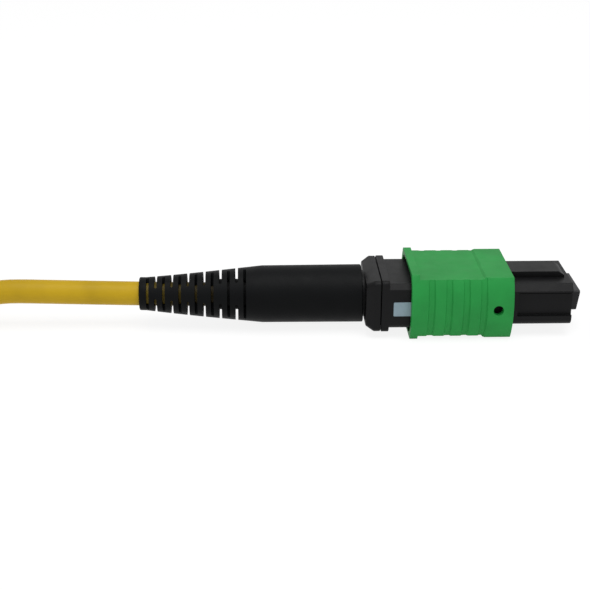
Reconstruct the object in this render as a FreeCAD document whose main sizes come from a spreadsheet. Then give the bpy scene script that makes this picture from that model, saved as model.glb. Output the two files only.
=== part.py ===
# Multi-fibre push-on (MPO) connector, female, 12 fibres, on a round 3 mm patch cable.
#
# Frame, in millimetres: +X is the way the plug goes into its adapter, +Z is the key side
# and +Y completes the right hand. The origin is under the middle of the connector, on the
# surface it lies on. Every body is drawn round the connector's own axis, which runs along
# X, and is then lifted to axis_level.

import FreeCAD, Part
import Sketcher
import math
import os

doc = FreeCAD.newDocument("MpoConnector")

# ---------------------------------------------------------------------------
# Driving sizes
# ---------------------------------------------------------------------------

SIZES = [
    # the connector along its axis, from the boot to the ferrule's tip
    ("boot_length", 27.5, "bend boot, end to end"),
    ("boot_gap", 0.35, "boot's front to the collar"),
    ("collar_length", 1.65, "collar of the spring push"),
    ("collar_gap", 0.2, "collar to the housing"),
    ("housing_length", 23.5, "inner housing, end to end"),
    ("ferrule_proud", 1.2, "ferrule's tip past the housing's nose"),
    # outer sleeve
    ("sleeve_setback", 3.55, "housing's rear to the sleeve's rear"),
    ("sleeve_length", 12.4, "outer sleeve, end to end"),
    ("sleeve_round", 6.22, "radius of the sleeve's rounded narrow sides"),
    ("sleeve_height", 7.6, "sleeve over its flat faces"),
    ("rim_height", 8.4, "sleeve's rear rim"),
    ("rim_length", 0.96, "sleeve's rear rim along X"),
    ("band_height", 8.04, "sleeve's front band"),
    ("band_length", 3.3, "sleeve's front band along X"),
    ("band_slope", 0.5, "slope up to the front band"),
    ("grip_count", 4, "grip grooves on each narrow side"),
    ("grip_start", 2.55, "sleeve's rear to the first grip groove"),
    ("grip_pitch", 2.07, "one grip groove to the next"),
    ("grip_width", 0.85, "grip groove along X"),
    ("grip_depth", 0.16, "grip groove into the side"),
    ("pinhole_radius", 0.55, "hole in the sleeve's narrow side"),
    ("pinhole_setback", 1.85, "sleeve's front to the pinhole"),
    ("mouth_depth", 2.15, "pocket for the adapter's hooks, along X"),
    ("mouth_height", 3.4, "pocket for the adapter's hooks, along Z"),
    ("mouth_width", 10.9, "over both hook pockets"),
    # inner housing
    ("body_width", 9.8, "housing's body along Y"),
    ("body_height", 5.8, "housing's body along Z"),
    ("body_corner", 1.0, "corner radius of body and nose"),
    ("flange_length", 0.95, "housing's rear flange along X"),
    ("flange_height", 6.7, "housing's rear flange along Z"),
    ("flange_corner", 0.6, "corner radius of flange and collar"),
    ("nose_length", 8.8, "narrower nose, along X"),
    ("nose_width", 9.4, "nose along Y"),
    ("nose_height", 5.3, "nose along Z"),
    ("key_width", 3.74, "key along Y"),
    ("key_top", 3.4, "key's top above the axis"),
    ("key_length", 10.6, "key along X"),
    ("key_setback", 0.62, "nose's front to the key's front"),
    ("key_chamfer", 0.5, "chamfer on the key's front"),
    ("panel_length", 6.75, "recess in the nose's narrow sides, along X"),
    ("panel_height", 2.8, "recess in the nose's narrow sides, along Z"),
    ("panel_rise", 0.2, "middle of that recess above the axis"),
    ("panel_depth", 0.35, "depth of that recess"),
    ("cavity_width", 7.8, "spring chamber along Y"),
    ("cavity_height", 4.4, "spring chamber along Z"),
    ("cavity_corner", 0.8, "corner radius of the spring chamber"),
    ("lip_length", 4.9, "close-fitting mouth round the ferrule"),
    # sleeve springs, in channels half in the housing and half in the sleeve
    ("groove_start", 6.7, "housing's rear to the sleeve spring"),
    ("spring_space", 6.0, "length of the sleeve spring"),
    ("spring_radius", 0.6, "sleeve spring, outside"),
    ("spring_wire", 0.2, "wire of the sleeve spring"),
    ("spring_turns", 7, "turns of the sleeve spring"),
    ("spring_offset", 4.95, "sleeve spring's axis from the connector's axis"),
    ("groove_depth", 0.7, "spring channel into the housing"),
    ("rib_length", 0.9, "sleeve's rib that pushes the spring"),
    # spring push
    ("collar_height", 6.6, "collar along Z"),
    ("collar_bevel", 0.95, "bevel round the collar's rear, along X"),
    ("collar_drop", 0.7, "bevel round the collar's rear, inwards"),
    ("neck_length", 6.3, "neck inside the housing, along X"),
    ("window_width", 4.6, "fibre window in the neck, along Y"),
    ("window_height", 2.4, "fibre window in the neck, along Z"),
    ("window_length", 5.6, "fibre window in the neck, along X"),
    ("latch_length", 1.4, "latch on the neck, along X"),
    ("latch_width", 1.8, "latch on the neck, along Z"),
    ("latch_reach", 0.75, "latch beyond the neck's side"),
    ("latch_setback", 2.6, "collar's front to the latch"),
    ("barrel_radius", 2.3, "crimp barrel, outside"),
    ("barrel_bore", 1.4, "radius of the bore through the barrel"),
    ("barrel_length", 6.1, "crimp barrel behind the collar's rear"),
    # ferrule group
    ("ferrule_width", 6.4, "ferrule along Y"),
    ("ferrule_height", 2.5, "ferrule along Z"),
    ("ferrule_length", 8.0, "ferrule, tip to rear"),
    ("ferrule_corner", 0.25, "corner radius of the ferrule"),
    ("face_angle", 8.0, "slope of the polished end face, in degrees"),
    ("shoulder_width", 7.2, "ferrule's rear shoulder along Y"),
    ("shoulder_height", 3.1, "ferrule's rear shoulder along Z"),
    ("guide_radius", 0.35, "guide-pin hole"),
    ("guide_offset", 2.3, "guide-pin hole from the axis"),
    ("fibre_bore", 0.085, "radius of a fibre hole in the ferrule"),
    ("pot_width", 3.6, "opening in the ferrule's rear, along Y"),
    ("pot_height", 1.6, "opening in the ferrule's rear, along Z"),
    ("pot_depth", 4.0, "opening in the ferrule's rear, along X"),
    ("strain_tail", 1.2, "rubber strain relief past the ferrule's rear"),
    ("slit_width", 3.1, "fibre slit in the strain relief, along Y"),
    ("slit_height", 0.36, "fibre slit in the strain relief, along Z"),
    ("keeper_length", 2.3, "pin keeper's front block, along X"),
    ("keeper_flange", 1.0, "pin keeper's spring flange, along X"),
    ("keeper_height", 4.0, "pin keeper's spring flange, along Z"),
    ("coil_width", 7.0, "main spring along Y"),
    ("coil_height", 3.9, "main spring along Z"),
    ("coil_wire", 0.45, "wire of the main spring"),
    ("coil_turns", 5, "turns of the main spring"),
    # fibres
    ("fibre_count", 12, "fibres in one row"),
    ("fibre_pitch", 0.25, "one fibre to the next in the ferrule"),
    ("glass_radius", 0.0625, "bare glass"),
    ("coating_radius", 0.1, "coated fibre"),
    ("bundle_radius", 0.62, "ring that the fibres form in the cable"),
    ("fibre_slack", 1.0, "room behind the fibres for the ferrule's float"),
    # cable end
    ("cable_radius", 1.5, "round cable"),
    ("jacket_bore", 1.0, "inside radius of the cable's jacket"),
    ("yarn_bore", 0.8, "inside radius of the aramid yarn"),
    ("jacket_inset", 11.8, "boot's rear to where the free cable begins"),
    ("strip_gap", 0.75, "jacket's cut end to the barrel"),
    ("yarn_wall", 0.15, "yarn layer on the barrel"),
    ("crimp_wall", 0.25, "wall of the crimp ring"),
    ("crimp_tail", 3.4, "narrow tail of the crimp ring, on the jacket"),
    ("tail_wall", 0.5, "wall of the crimp ring's tail"),
    ("shrink_wall", 0.35, "wall of the shrink tube"),
    ("shrink_start", 9.55, "boot's rear to the shrink tube"),
    # bend boot
    ("boot_radius", 3.55, "boot's front, outside"),
    ("boot_tip_radius", 2.06, "boot's rear, outside"),
    ("boot_tip_length", 0.8, "plain ring at the boot's rear"),
    ("boot_taper_length", 14.4, "tapered part of the boot"),
    ("boot_roll", 22.0, "roll of the slot pattern about the axis, in degrees"),
    ("slot_width", 0.4, "slot along X"),
    ("slot_pitch", 2.0, "one slot to the next of its family"),
    ("side_slot_start", 1.05, "boot's rear to the first side slot"),
    ("side_slot_count", 7, "slots cut from both sides"),
    ("side_web", 0.85, "half width of the web beside the first side slot"),
    ("side_web_step", 0.083, "growth of that web per slot"),
    ("top_slot_start", 2.04, "boot's rear to the first top slot"),
    ("top_slot_count", 6, "slots cut from top and bottom"),
    ("top_web", 0.68, "half width of the web beside the first top slot"),
    ("top_web_step", 0.136, "growth of that web per slot"),
    # clearances
    ("slide_fit", 0.1, "gap round what slides"),
    ("snug_fit", 0.05, "gap round what is pushed or crimped on"),
    # cable on the surface, tied in a hank
    ("fall_start", 44.5, "origin to where the cable begins to come down"),
    ("fall_end", 51.5, "origin to where the cable reaches its lowest run"),
    ("hank_start", 64.0, "origin to where the cable enters the hank"),
    ("hank_straight", 16.0, "straight run of the hank"),
    ("hank_bend", 12.0, "radius of the hank's outer turns"),
    ("hank_columns", 2, "turns side by side"),
    ("hank_layers", 5, "turns on top of each other"),
    ("tie_wall", 0.6, "thickness of a tie"),
    ("tie_width", 6.0, "width of a tie"),
]

sheet = doc.addObject("Spreadsheet::Sheet", "Sizes")
for row, (alias, size, meaning) in enumerate(SIZES, start=1):
    sheet.set(f"A{row}", meaning)
    sheet.set(f"B{row}", str(size))
    sheet.setAlias(f"B{row}", alias)
doc.recompute()


class Size:
    """A size worked out from the sheet: its text goes to setExpression, float() gives its value."""

    def __init__(self, text):
        self.text = str(text)

    def __str__(self):
        return self.text

    def __float__(self):
        return float(sheet.evalExpression(self.text))

    def __add__(self, other):
        return Size(f"({self} + {other})")

    def __sub__(self, other):
        return Size(f"({self} - {other})")

    def __mul__(self, other):
        return Size(f"({self} * {other})")

    def __truediv__(self, other):
        return Size(f"({self} / {other})")

    def __neg__(self):
        return Size(f"(0 - {self})")


class Cells:
    """S.name is the sheet's cell with that alias."""

    def __getattr__(self, alias):
        return Size(f"Sizes.{alias}")


S = Cells()
ZERO = Size(0)
THROUGH = 1.1  # a cut right through a part is this much wider than the part

# Stations along X.
overall = S.boot_length + S.boot_gap + S.collar_length + S.collar_gap
overall = overall + S.housing_length + S.ferrule_proud
boot_rear = -(overall / 2)
boot_front = boot_rear + S.boot_length
collar_rear = boot_front + S.boot_gap
collar_front = collar_rear + S.collar_length
housing_rear = collar_front + S.collar_gap
nose_front = housing_rear + S.housing_length
nose_rear = nose_front - S.nose_length
tip = nose_front + S.ferrule_proud
sleeve_rear = housing_rear + S.sleeve_setback
sleeve_front = sleeve_rear + S.sleeve_length
ferrule_rear = tip - S.ferrule_length
lip_rear = nose_front - S.lip_length
keeper_rear = ferrule_rear - S.keeper_length - S.keeper_flange
neck_front = collar_front + S.neck_length
barrel_rear = collar_rear - S.barrel_length
groove_rear = housing_rear + S.groove_start
rib_rear = groove_rear + S.spring_space
rib_front = rib_rear + S.rib_length
jacket_rear = boot_rear + S.jacket_inset
jacket_front = barrel_rear - S.strip_gap
axis_level = S.rim_height / 2

# ---------------------------------------------------------------------------
# Sketch and feature helpers
# ---------------------------------------------------------------------------


def new_body(label):
    """An empty body, lifted to the connector's axis, whose label names its file."""
    body = doc.addObject("PartDesign::Body", label)
    body.Label = label
    body.setExpression("Placement.Base.z", str(axis_level))
    return body


def new_sketch(body, name, plane, station=None):
    """A sketch on one of the body's own planes, moved along the plane's normal to a station."""
    sketch = body.newObject("Sketcher::SketchObject", name)
    found = [part for part in body.Origin.OriginFeatures if part.Role == plane]
    sketch.AttachmentSupport = [(found[0], "")]
    sketch.MapMode = "FlatFace"
    if station is not None:
        sketch.setExpression("AttachmentOffset.Base.z", str(station))
    return sketch


def fix_point(sketch, geometry, point, x, y):
    """Holds one point of a sketch's geometry at x and y."""
    for kind, size in (("DistanceX", x), ("DistanceY", y)):
        rule = Sketcher.Constraint(kind, -1, 1, geometry, point, float(size))
        number = sketch.addConstraint(rule)
        sketch.setExpression(f"Constraints[{number}]", str(size))


def fix_radius(sketch, geometry, radius):
    number = sketch.addConstraint(Sketcher.Constraint("Radius", geometry, float(radius)))
    sketch.setExpression(f"Constraints[{number}]", str(radius))


def draw_polygon(sketch, points):
    """A closed outline with its corners at the given sizes."""
    corners = [FreeCAD.Vector(float(x), float(y), 0) for x, y in points]
    first = sketch.GeometryCount
    for i, corner in enumerate(corners):
        sketch.addGeometry(Part.LineSegment(corner, corners[(i + 1) % len(corners)]))
    for i, (x, y) in enumerate(points):
        following = first + (i + 1) % len(points)
        sketch.addConstraint(Sketcher.Constraint("Coincident", first + i, 2, following, 1))
        fix_point(sketch, first + i, 1, x, y)


def draw_box(sketch, x_low, x_high, y_low, y_high):
    draw_polygon(sketch, [(x_low, y_low), (x_high, y_low), (x_high, y_high), (x_low, y_high)])


def draw_circle(sketch, x, y, radius):
    centre = FreeCAD.Vector(float(x), float(y), 0)
    circle = sketch.addGeometry(Part.Circle(centre, FreeCAD.Vector(0, 0, 1), float(radius)))
    fix_point(sketch, circle, 3, x, y)
    fix_radius(sketch, circle, radius)


def draw_rounded(sketch, width, height, corner):
    """A rectangle round the axis with rounded corners."""
    w, h, r = float(width) / 2, float(height) / 2, float(corner)
    up = FreeCAD.Vector(0, 0, 1)
    turns = [(1, 1, 0), (-1, 1, 90), (-1, -1, 180), (1, -1, 270)]
    first = sketch.GeometryCount
    for i, (side, top, start) in enumerate(turns):
        centre = FreeCAD.Vector(side * (w - r), top * (h - r), 0)
        circle = Part.Circle(centre, up, r)
        begin, end = math.radians(start), math.radians(start + 90)
        sketch.addGeometry(Part.ArcOfCircle(circle, begin, end))
        next_side, next_top, _ = turns[(i + 1) % 4]
        next_centre = FreeCAD.Vector(next_side * (w - r), next_top * (h - r), 0)
        out = FreeCAD.Vector(math.cos(end), math.sin(end), 0) * r
        sketch.addGeometry(Part.LineSegment(centre + out, next_centre + out))
    for i in range(4):
        arc, line = first + 2 * i, first + 2 * i + 1
        following = first + (2 * i + 2) % 8
        sketch.addConstraint(Sketcher.Constraint("Tangent", arc, 2, line, 1))
        sketch.addConstraint(Sketcher.Constraint("Tangent", line, 2, following, 1))
        sketch.addConstraint(Sketcher.Constraint("Horizontal" if i % 2 == 0 else "Vertical", line))
        if i > 0:
            sketch.addConstraint(Sketcher.Constraint("Equal", first, arc))
    fix_radius(sketch, first, corner)
    # The right side and the top are held by the first arc, the left and the bottom by the third.
    for kind, geometry, point, size in (
        ("DistanceX", first, 1, width / 2),
        ("DistanceY", first, 2, height / 2),
        ("DistanceX", first + 4, 1, -(width / 2)),
        ("DistanceY", first + 4, 2, -(height / 2)),
    ):
        rule = Sketcher.Constraint(kind, -1, 1, geometry, point, float(size))
        number = sketch.addConstraint(rule)
        sketch.setExpression(f"Constraints[{number}]", str(size))


def draw_flatted(sketch, radius, height):
    """A circle round the axis, cut flat at the top and the bottom."""
    r, h = float(radius), float(height) / 2
    rise = math.asin(h / r)
    circle = Part.Circle(FreeCAD.Vector(0, 0, 0), FreeCAD.Vector(0, 0, 1), r)
    half = math.sqrt(r * r - h * h)
    right = sketch.addGeometry(Part.ArcOfCircle(circle, -rise, rise))
    top = sketch.addGeometry(
        Part.LineSegment(FreeCAD.Vector(half, h, 0), FreeCAD.Vector(-half, h, 0))
    )
    left = sketch.addGeometry(Part.ArcOfCircle(circle, math.pi - rise, math.pi + rise))
    bottom = sketch.addGeometry(
        Part.LineSegment(FreeCAD.Vector(-half, -h, 0), FreeCAD.Vector(half, -h, 0))
    )
    for a, b in ((right, top), (top, left), (left, bottom), (bottom, right)):
        sketch.addConstraint(Sketcher.Constraint("Coincident", a, 2, b, 1))
    for arc in (right, left):
        sketch.addConstraint(Sketcher.Constraint("Coincident", arc, 3, -1, 1))
    sketch.addConstraint(Sketcher.Constraint("Equal", right, left))
    fix_radius(sketch, right, radius)
    for line, level in ((top, height / 2), (bottom, -(height / 2))):
        sketch.addConstraint(Sketcher.Constraint("Horizontal", line))
        number = sketch.addConstraint(
            Sketcher.Constraint("DistanceY", -1, 1, line, 1, float(level))
        )
        sketch.setExpression(f"Constraints[{number}]", str(level))


def add(body, sketch, length, symmetric=False):
    """Pads a sketch, forwards or to both sides of its plane."""
    pad = body.newObject("PartDesign::Pad", sketch.Name + "Pad")
    pad.Profile = sketch
    pad.SideType = "Symmetric" if symmetric else "One side"
    pad.setExpression("Length", str(length))
    doc.recompute()


def cut(body, sketch, length, symmetric=False):
    """Pockets a sketch, forwards or to both sides of its plane, and sees that it cut."""
    before = body.Shape.Volume
    pocket = body.newObject("PartDesign::Pocket", sketch.Name + "Pocket")
    pocket.Profile = sketch
    pocket.SideType = "Symmetric" if symmetric else "One side"
    pocket.Reversed = not symmetric
    pocket.setExpression("Length", str(length))
    doc.recompute()
    if not body.Shape.Volume < before - 1e-6:
        raise RuntimeError(f"{sketch.Name} cuts nothing from {body.Label}")


def turn(body, sketch, groove=False):
    """Revolves a sketch of the XZ plane round the axis."""
    before = body.Shape.Volume if groove else 0
    kind = "PartDesign::Groove" if groove else "PartDesign::Revolution"
    feature = body.newObject(kind, sketch.Name + "Turned")
    feature.Profile = sketch
    feature.ReferenceAxis = (sketch, ["H_Axis"])
    feature.Angle = 360
    doc.recompute()
    if groove and not body.Shape.Volume < before - 1e-6:
        raise RuntimeError(f"{sketch.Name} cuts nothing from {body.Label}")


def loft(body, rear, front):
    feature = body.newObject("PartDesign::AdditiveLoft", rear.Name + "Loft")
    feature.Profile = rear
    feature.Sections = [front]
    feature.Ruled = True
    doc.recompute()


def rounded_block(body, name, rear, front, width, height, corner, hollow=False):
    """A block or a pocket with rounded corners from one station to another."""
    sketch = new_sketch(body, name, "YZ_Plane", rear)
    draw_rounded(sketch, width, height, corner)
    (cut if hollow else add)(body, sketch, front - rear)


# ---------------------------------------------------------------------------
# Outer sleeve: slides back on the housing to let the adapter's hooks go
# ---------------------------------------------------------------------------


def make_outer_sleeve():
    body = new_body("outer_sleeve")
    band_rear = sleeve_front - S.band_length
    slope_rear = band_rear - S.band_slope
    rim = new_sketch(body, "SleeveRim", "YZ_Plane", sleeve_rear)
    draw_flatted(rim, S.sleeve_round, S.rim_height)
    add(body, rim, S.rim_length)
    trunk = new_sketch(body, "SleeveTrunk", "YZ_Plane", sleeve_rear)
    draw_flatted(trunk, S.sleeve_round, S.sleeve_height)
    add(body, trunk, slope_rear - sleeve_rear)
    low = new_sketch(body, "SleeveSlopeLow", "YZ_Plane", slope_rear)
    draw_flatted(low, S.sleeve_round, S.sleeve_height)
    high = new_sketch(body, "SleeveSlopeHigh", "YZ_Plane", band_rear)
    draw_flatted(high, S.sleeve_round, S.band_height)
    loft(body, low, high)
    band = new_sketch(body, "SleeveBand", "YZ_Plane", band_rear)
    draw_flatted(band, S.sleeve_round, S.band_height)
    add(body, band, S.band_length)

    # Grip grooves: shallow troughs turned into the rounded sides only.
    grips = new_sketch(body, "SleeveGrips", "XZ_Plane")
    floor = S.sleeve_round - S.grip_depth
    clear = S.sleeve_round + S.grip_depth
    for i in range(int(float(S.grip_count))):
        centre = sleeve_rear + S.grip_start + S.grip_pitch * i
        mouth = S.grip_width * 0.7
        points = [
            (centre - mouth, clear),
            (centre - S.grip_width / 4, floor),
            (centre + S.grip_width / 4, floor),
            (centre + mouth, clear),
        ]
        draw_polygon(grips, points)
    turn(body, grips, groove=True)

    # Through opening that slides on the housing.
    width = S.body_width + S.slide_fit * 2
    height = S.body_height + S.slide_fit * 2
    corner = S.body_corner + S.slide_fit
    rounded_block(body, "SleeveBore", sleeve_rear, sleeve_front, width, height, corner, True)

    # Keyway for the housing's key, open at the front.
    keyway_rear = nose_front - S.key_setback - S.key_length - S.slide_fit
    keyway = new_sketch(body, "SleeveKeyway", "YZ_Plane", keyway_rear)
    half_key = S.key_width / 2 + S.slide_fit
    draw_box(keyway, -half_key, half_key, ZERO, S.key_top + S.slide_fit)
    cut(body, keyway, sleeve_front - keyway_rear)

    # Spring channels, one in each narrow side, closed at the front by a rib.
    channel = new_sketch(body, "SleeveChannels", "YZ_Plane", groove_rear - S.slide_fit)
    half_channel = S.spring_radius + S.slide_fit
    reach = S.spring_offset + S.spring_radius + S.slide_fit
    draw_box(channel, -reach, reach, -half_channel, half_channel)
    cut(body, channel, rib_rear - groove_rear + S.slide_fit)
    ribs = new_sketch(body, "SleeveRibs", "YZ_Plane", rib_rear)
    inner = S.body_width / 2 - S.groove_depth + S.slide_fit
    for side in (1, -1):
        draw_box(ribs, inner * side, reach * side, -S.spring_radius, S.spring_radius)
    add(body, ribs, S.rib_length)

    # Pockets that let the adapter's hooks in beside the nose.
    mouth = new_sketch(body, "SleeveMouth", "YZ_Plane", sleeve_front - S.mouth_depth)
    half_mouth = S.mouth_height / 2
    draw_box(mouth, -(S.mouth_width / 2), S.mouth_width / 2, -half_mouth, half_mouth)
    cut(body, mouth, S.mouth_depth)

    pinhole = new_sketch(body, "SleevePinhole", "XZ_Plane")
    draw_circle(pinhole, sleeve_front - S.pinhole_setback, ZERO, S.pinhole_radius)
    cut(body, pinhole, S.sleeve_round * 2 * THROUGH, symmetric=True)


# ---------------------------------------------------------------------------
# Inner housing
# ---------------------------------------------------------------------------


def make_inner_housing():
    body = new_body("inner_housing")
    flange_front = housing_rear + S.flange_length
    rounded_block(
        body, "HousingFlange", housing_rear, flange_front,
        S.body_width, S.flange_height, S.flange_corner,
    )
    rounded_block(
        body, "HousingBody", flange_front, nose_rear, S.body_width, S.body_height, S.body_corner
    )
    rounded_block(
        body, "HousingNose", nose_rear, nose_front, S.nose_width, S.nose_height, S.body_corner
    )
    key = new_sketch(body, "HousingKey", "XZ_Plane")
    key_front = nose_front - S.key_setback
    key_rear = key_front - S.key_length
    root = S.nose_height / 2 - S.panel_depth
    points = [
        (key_rear, root),
        (key_front, root),
        (key_front, S.key_top - S.key_chamfer),
        (key_front - S.key_chamfer, S.key_top),
        (key_rear, S.key_top),
    ]
    draw_polygon(key, points)
    add(body, key, S.key_width, symmetric=True)

    rounded_block(
        body, "HousingChamber", housing_rear, nose_rear,
        S.cavity_width, S.cavity_height, S.cavity_corner, True,
    )
    rounded_block(
        body, "HousingNoseBore", nose_rear, lip_rear,
        S.shoulder_width + S.slide_fit * 2, S.shoulder_height + S.slide_fit * 2,
        S.ferrule_corner + S.slide_fit, True,
    )
    rounded_block(
        body, "HousingLip", lip_rear, nose_front,
        S.ferrule_width + S.slide_fit * 2, S.ferrule_height + S.slide_fit * 2,
        S.ferrule_corner + S.slide_fit, True,
    )

    # Channels for the sleeve springs; their front ends stop the sleeve's ribs.
    channels = new_sketch(body, "HousingChannels", "YZ_Plane", groove_rear)
    half = S.spring_radius + S.slide_fit
    floor = S.body_width / 2 - S.groove_depth
    clear = S.body_width / 2 + S.groove_depth
    for side in (1, -1):
        draw_box(channels, floor * side, clear * side, -half, half)
    cut(body, channels, rib_front - groove_rear)

    # Windows for the spring push's latches, hidden by the sleeve.
    windows = new_sketch(body, "HousingWindows", "XZ_Plane")
    latch_rear = collar_front + S.latch_setback
    half = S.latch_width / 2 + S.slide_fit
    draw_box(
        windows, latch_rear - S.slide_fit, latch_rear + S.latch_length + S.slide_fit, -half, half
    )
    cut(body, windows, S.body_width * THROUGH, symmetric=True)

    # Shallow panels that guide the adapter's hooks along the nose.
    panel_rear = nose_front - S.panel_length
    panels = new_sketch(body, "HousingPanels", "YZ_Plane", panel_rear)
    low = S.panel_rise - S.panel_height / 2
    high = S.panel_rise + S.panel_height / 2
    floor = S.nose_width / 2 - S.panel_depth
    clear = S.nose_width / 2 + S.panel_depth
    for side in (1, -1):
        draw_box(panels, floor * side, clear * side, low, high)
    cut(body, panels, S.panel_length)


# ---------------------------------------------------------------------------
# Spring push: collar, crimp barrel and the neck that latches into the housing
# ---------------------------------------------------------------------------


def make_spring_push():
    body = new_body("spring_push")
    bevel_front = collar_rear + S.collar_bevel
    rear = new_sketch(body, "CollarRear", "YZ_Plane", collar_rear)
    drop = S.collar_drop * 2
    draw_rounded(rear, S.body_width - drop, S.collar_height - drop, S.flange_corner)
    front = new_sketch(body, "CollarBevelFront", "YZ_Plane", bevel_front)
    draw_rounded(front, S.body_width, S.collar_height, S.flange_corner)
    loft(body, rear, front)
    rounded_block(
        body, "Collar", bevel_front, collar_front,
        S.body_width, S.collar_height, S.flange_corner,
    )
    neck_width = S.cavity_width - S.slide_fit * 2
    neck_height = S.cavity_height - S.slide_fit * 2
    neck_corner = S.cavity_corner - S.slide_fit
    rounded_block(
        body, "Neck", collar_front, neck_front, neck_width, neck_height, neck_corner
    )
    barrel = new_sketch(body, "Barrel", "YZ_Plane", barrel_rear)
    draw_circle(barrel, ZERO, ZERO, S.barrel_radius)
    add(body, barrel, S.barrel_length)

    # Latches: ramps on the neck's narrow sides.
    latches = new_sketch(body, "Latches", "XY_Plane")
    latch_rear = collar_front + S.latch_setback
    latch_front = latch_rear + S.latch_length
    root = neck_width / 2 - S.latch_reach
    crest = neck_width / 2 + S.latch_reach
    for side in (1, -1):
        points = [
            (latch_rear, root * side),
            (latch_rear, crest * side),
            (latch_front, neck_width / 2 * side),
            (latch_front, root * side),
        ]
        draw_polygon(latches, points)
    add(body, latches, S.latch_width, symmetric=True)

    bore = new_sketch(body, "PushBore", "YZ_Plane", barrel_rear)
    draw_circle(bore, ZERO, ZERO, S.barrel_bore)
    cut(body, bore, neck_front - barrel_rear)
    window = new_sketch(body, "PushWindow", "YZ_Plane", neck_front - S.window_length)
    half_width, half_height = S.window_width / 2, S.window_height / 2
    draw_box(window, -half_width, half_width, -half_height, half_height)
    cut(body, window, S.window_length)


# ---------------------------------------------------------------------------
# Ferrule, its strain relief and the pin keeper
# ---------------------------------------------------------------------------


def fibre_place(number):
    """Y of a fibre in the ferrule's row; fibre 1 is on the left when the key is up."""
    middle = (float(S.fibre_count) + 1) / 2
    return S.fibre_pitch * (number - middle)


def fibre_numbers():
    return range(1, int(float(S.fibre_count)) + 1)


def eight_corners(middle, radius):
    """Corners of a fibre's hole: at this size eight sides do for a circle."""
    near, far = math.sin(math.pi / 8), math.cos(math.pi / 8)
    turns = [
        (far, near), (near, far), (-near, far), (-far, near),
        (-far, -near), (-near, -far), (near, -far), (far, -near),
    ]
    return [(middle + radius * across, radius * rise) for across, rise in turns]


def make_ferrule():
    body = new_body("ferrule")
    rounded_block(
        body, "FerruleShoulder", ferrule_rear, lip_rear,
        S.shoulder_width, S.shoulder_height, S.ferrule_corner,
    )
    rounded_block(
        body, "FerruleNose", lip_rear, tip, S.ferrule_width, S.ferrule_height, S.ferrule_corner
    )
    # The polished face slopes back from the key side.
    slope = math.tan(math.radians(float(S.face_angle)))
    wedge = new_sketch(body, "FerruleFace", "XZ_Plane")
    top, bottom = S.ferrule_height / 2, -(S.ferrule_height / 2)
    set_back = S.ferrule_height * slope
    draw_polygon(wedge, [(tip, top), (tip - set_back, bottom), (tip, bottom)])
    cut(body, wedge, S.ferrule_width * THROUGH, symmetric=True)

    pot = new_sketch(body, "FerrulePot", "YZ_Plane", ferrule_rear)
    half_width, half_height = S.pot_width / 2, S.pot_height / 2
    draw_box(pot, -half_width, half_width, -half_height, half_height)
    cut(body, pot, S.pot_depth)
    guides = new_sketch(body, "FerruleGuideHoles", "YZ_Plane", ferrule_rear)
    for side in (1, -1):
        draw_circle(guides, S.guide_offset * side, ZERO, S.guide_radius)
    cut(body, guides, S.ferrule_length)
    holes = new_sketch(body, "FerruleFibreHoles", "YZ_Plane", ferrule_rear + S.pot_depth)
    for number in fibre_numbers():
        draw_polygon(holes, eight_corners(fibre_place(number), S.fibre_bore))
    cut(body, holes, S.ferrule_length - S.pot_depth)


def make_ferrule_boot():
    body = new_body("ferrule_boot")
    rear = ferrule_rear - S.strain_tail
    front = ferrule_rear + S.pot_depth
    block = new_sketch(body, "StrainRelief", "YZ_Plane", rear)
    half_width = S.pot_width / 2 - S.snug_fit
    half_height = S.pot_height / 2 - S.snug_fit
    draw_box(block, -half_width, half_width, -half_height, half_height)
    add(body, block, front - rear)
    slit = new_sketch(body, "StrainReliefSlit", "YZ_Plane", rear)
    half_width, half_height = S.slit_width / 2, S.slit_height / 2
    draw_box(slit, -half_width, half_width, -half_height, half_height)
    cut(body, slit, front - rear)


def make_pin_keeper():
    body = new_body("pin_keeper")
    flange_front = keeper_rear + S.keeper_flange
    half_width = S.shoulder_width / 2
    flange = new_sketch(body, "KeeperFlange", "YZ_Plane", keeper_rear)
    draw_box(flange, -half_width, half_width, -(S.keeper_height / 2), S.keeper_height / 2)
    add(body, flange, S.keeper_flange)
    rounded_block(
        body, "KeeperBlock", flange_front, ferrule_rear,
        S.shoulder_width, S.shoulder_height, S.ferrule_corner,
    )
    opening = new_sketch(body, "KeeperOpening", "YZ_Plane", keeper_rear)
    half_width = S.pot_width / 2 + S.slide_fit
    half_height = S.pot_height / 2 + S.slide_fit
    draw_box(opening, -half_width, half_width, -half_height, half_height)
    cut(body, opening, ferrule_rear - keeper_rear)


# ---------------------------------------------------------------------------
# Cable end: jacket, yarn, crimp ring and shrink tube, all turned round the axis
# ---------------------------------------------------------------------------


def make_turned(label, points):
    body = new_body(label)
    sketch = new_sketch(body, "".join(word.title() for word in label.split("_")), "XZ_Plane")
    draw_polygon(sketch, points)
    turn(body, sketch)
    return body


def make_tube(label, rear, front, inner, outer):
    make_turned(label, [(rear, inner), (front, inner), (front, outer), (rear, outer)])


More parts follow.
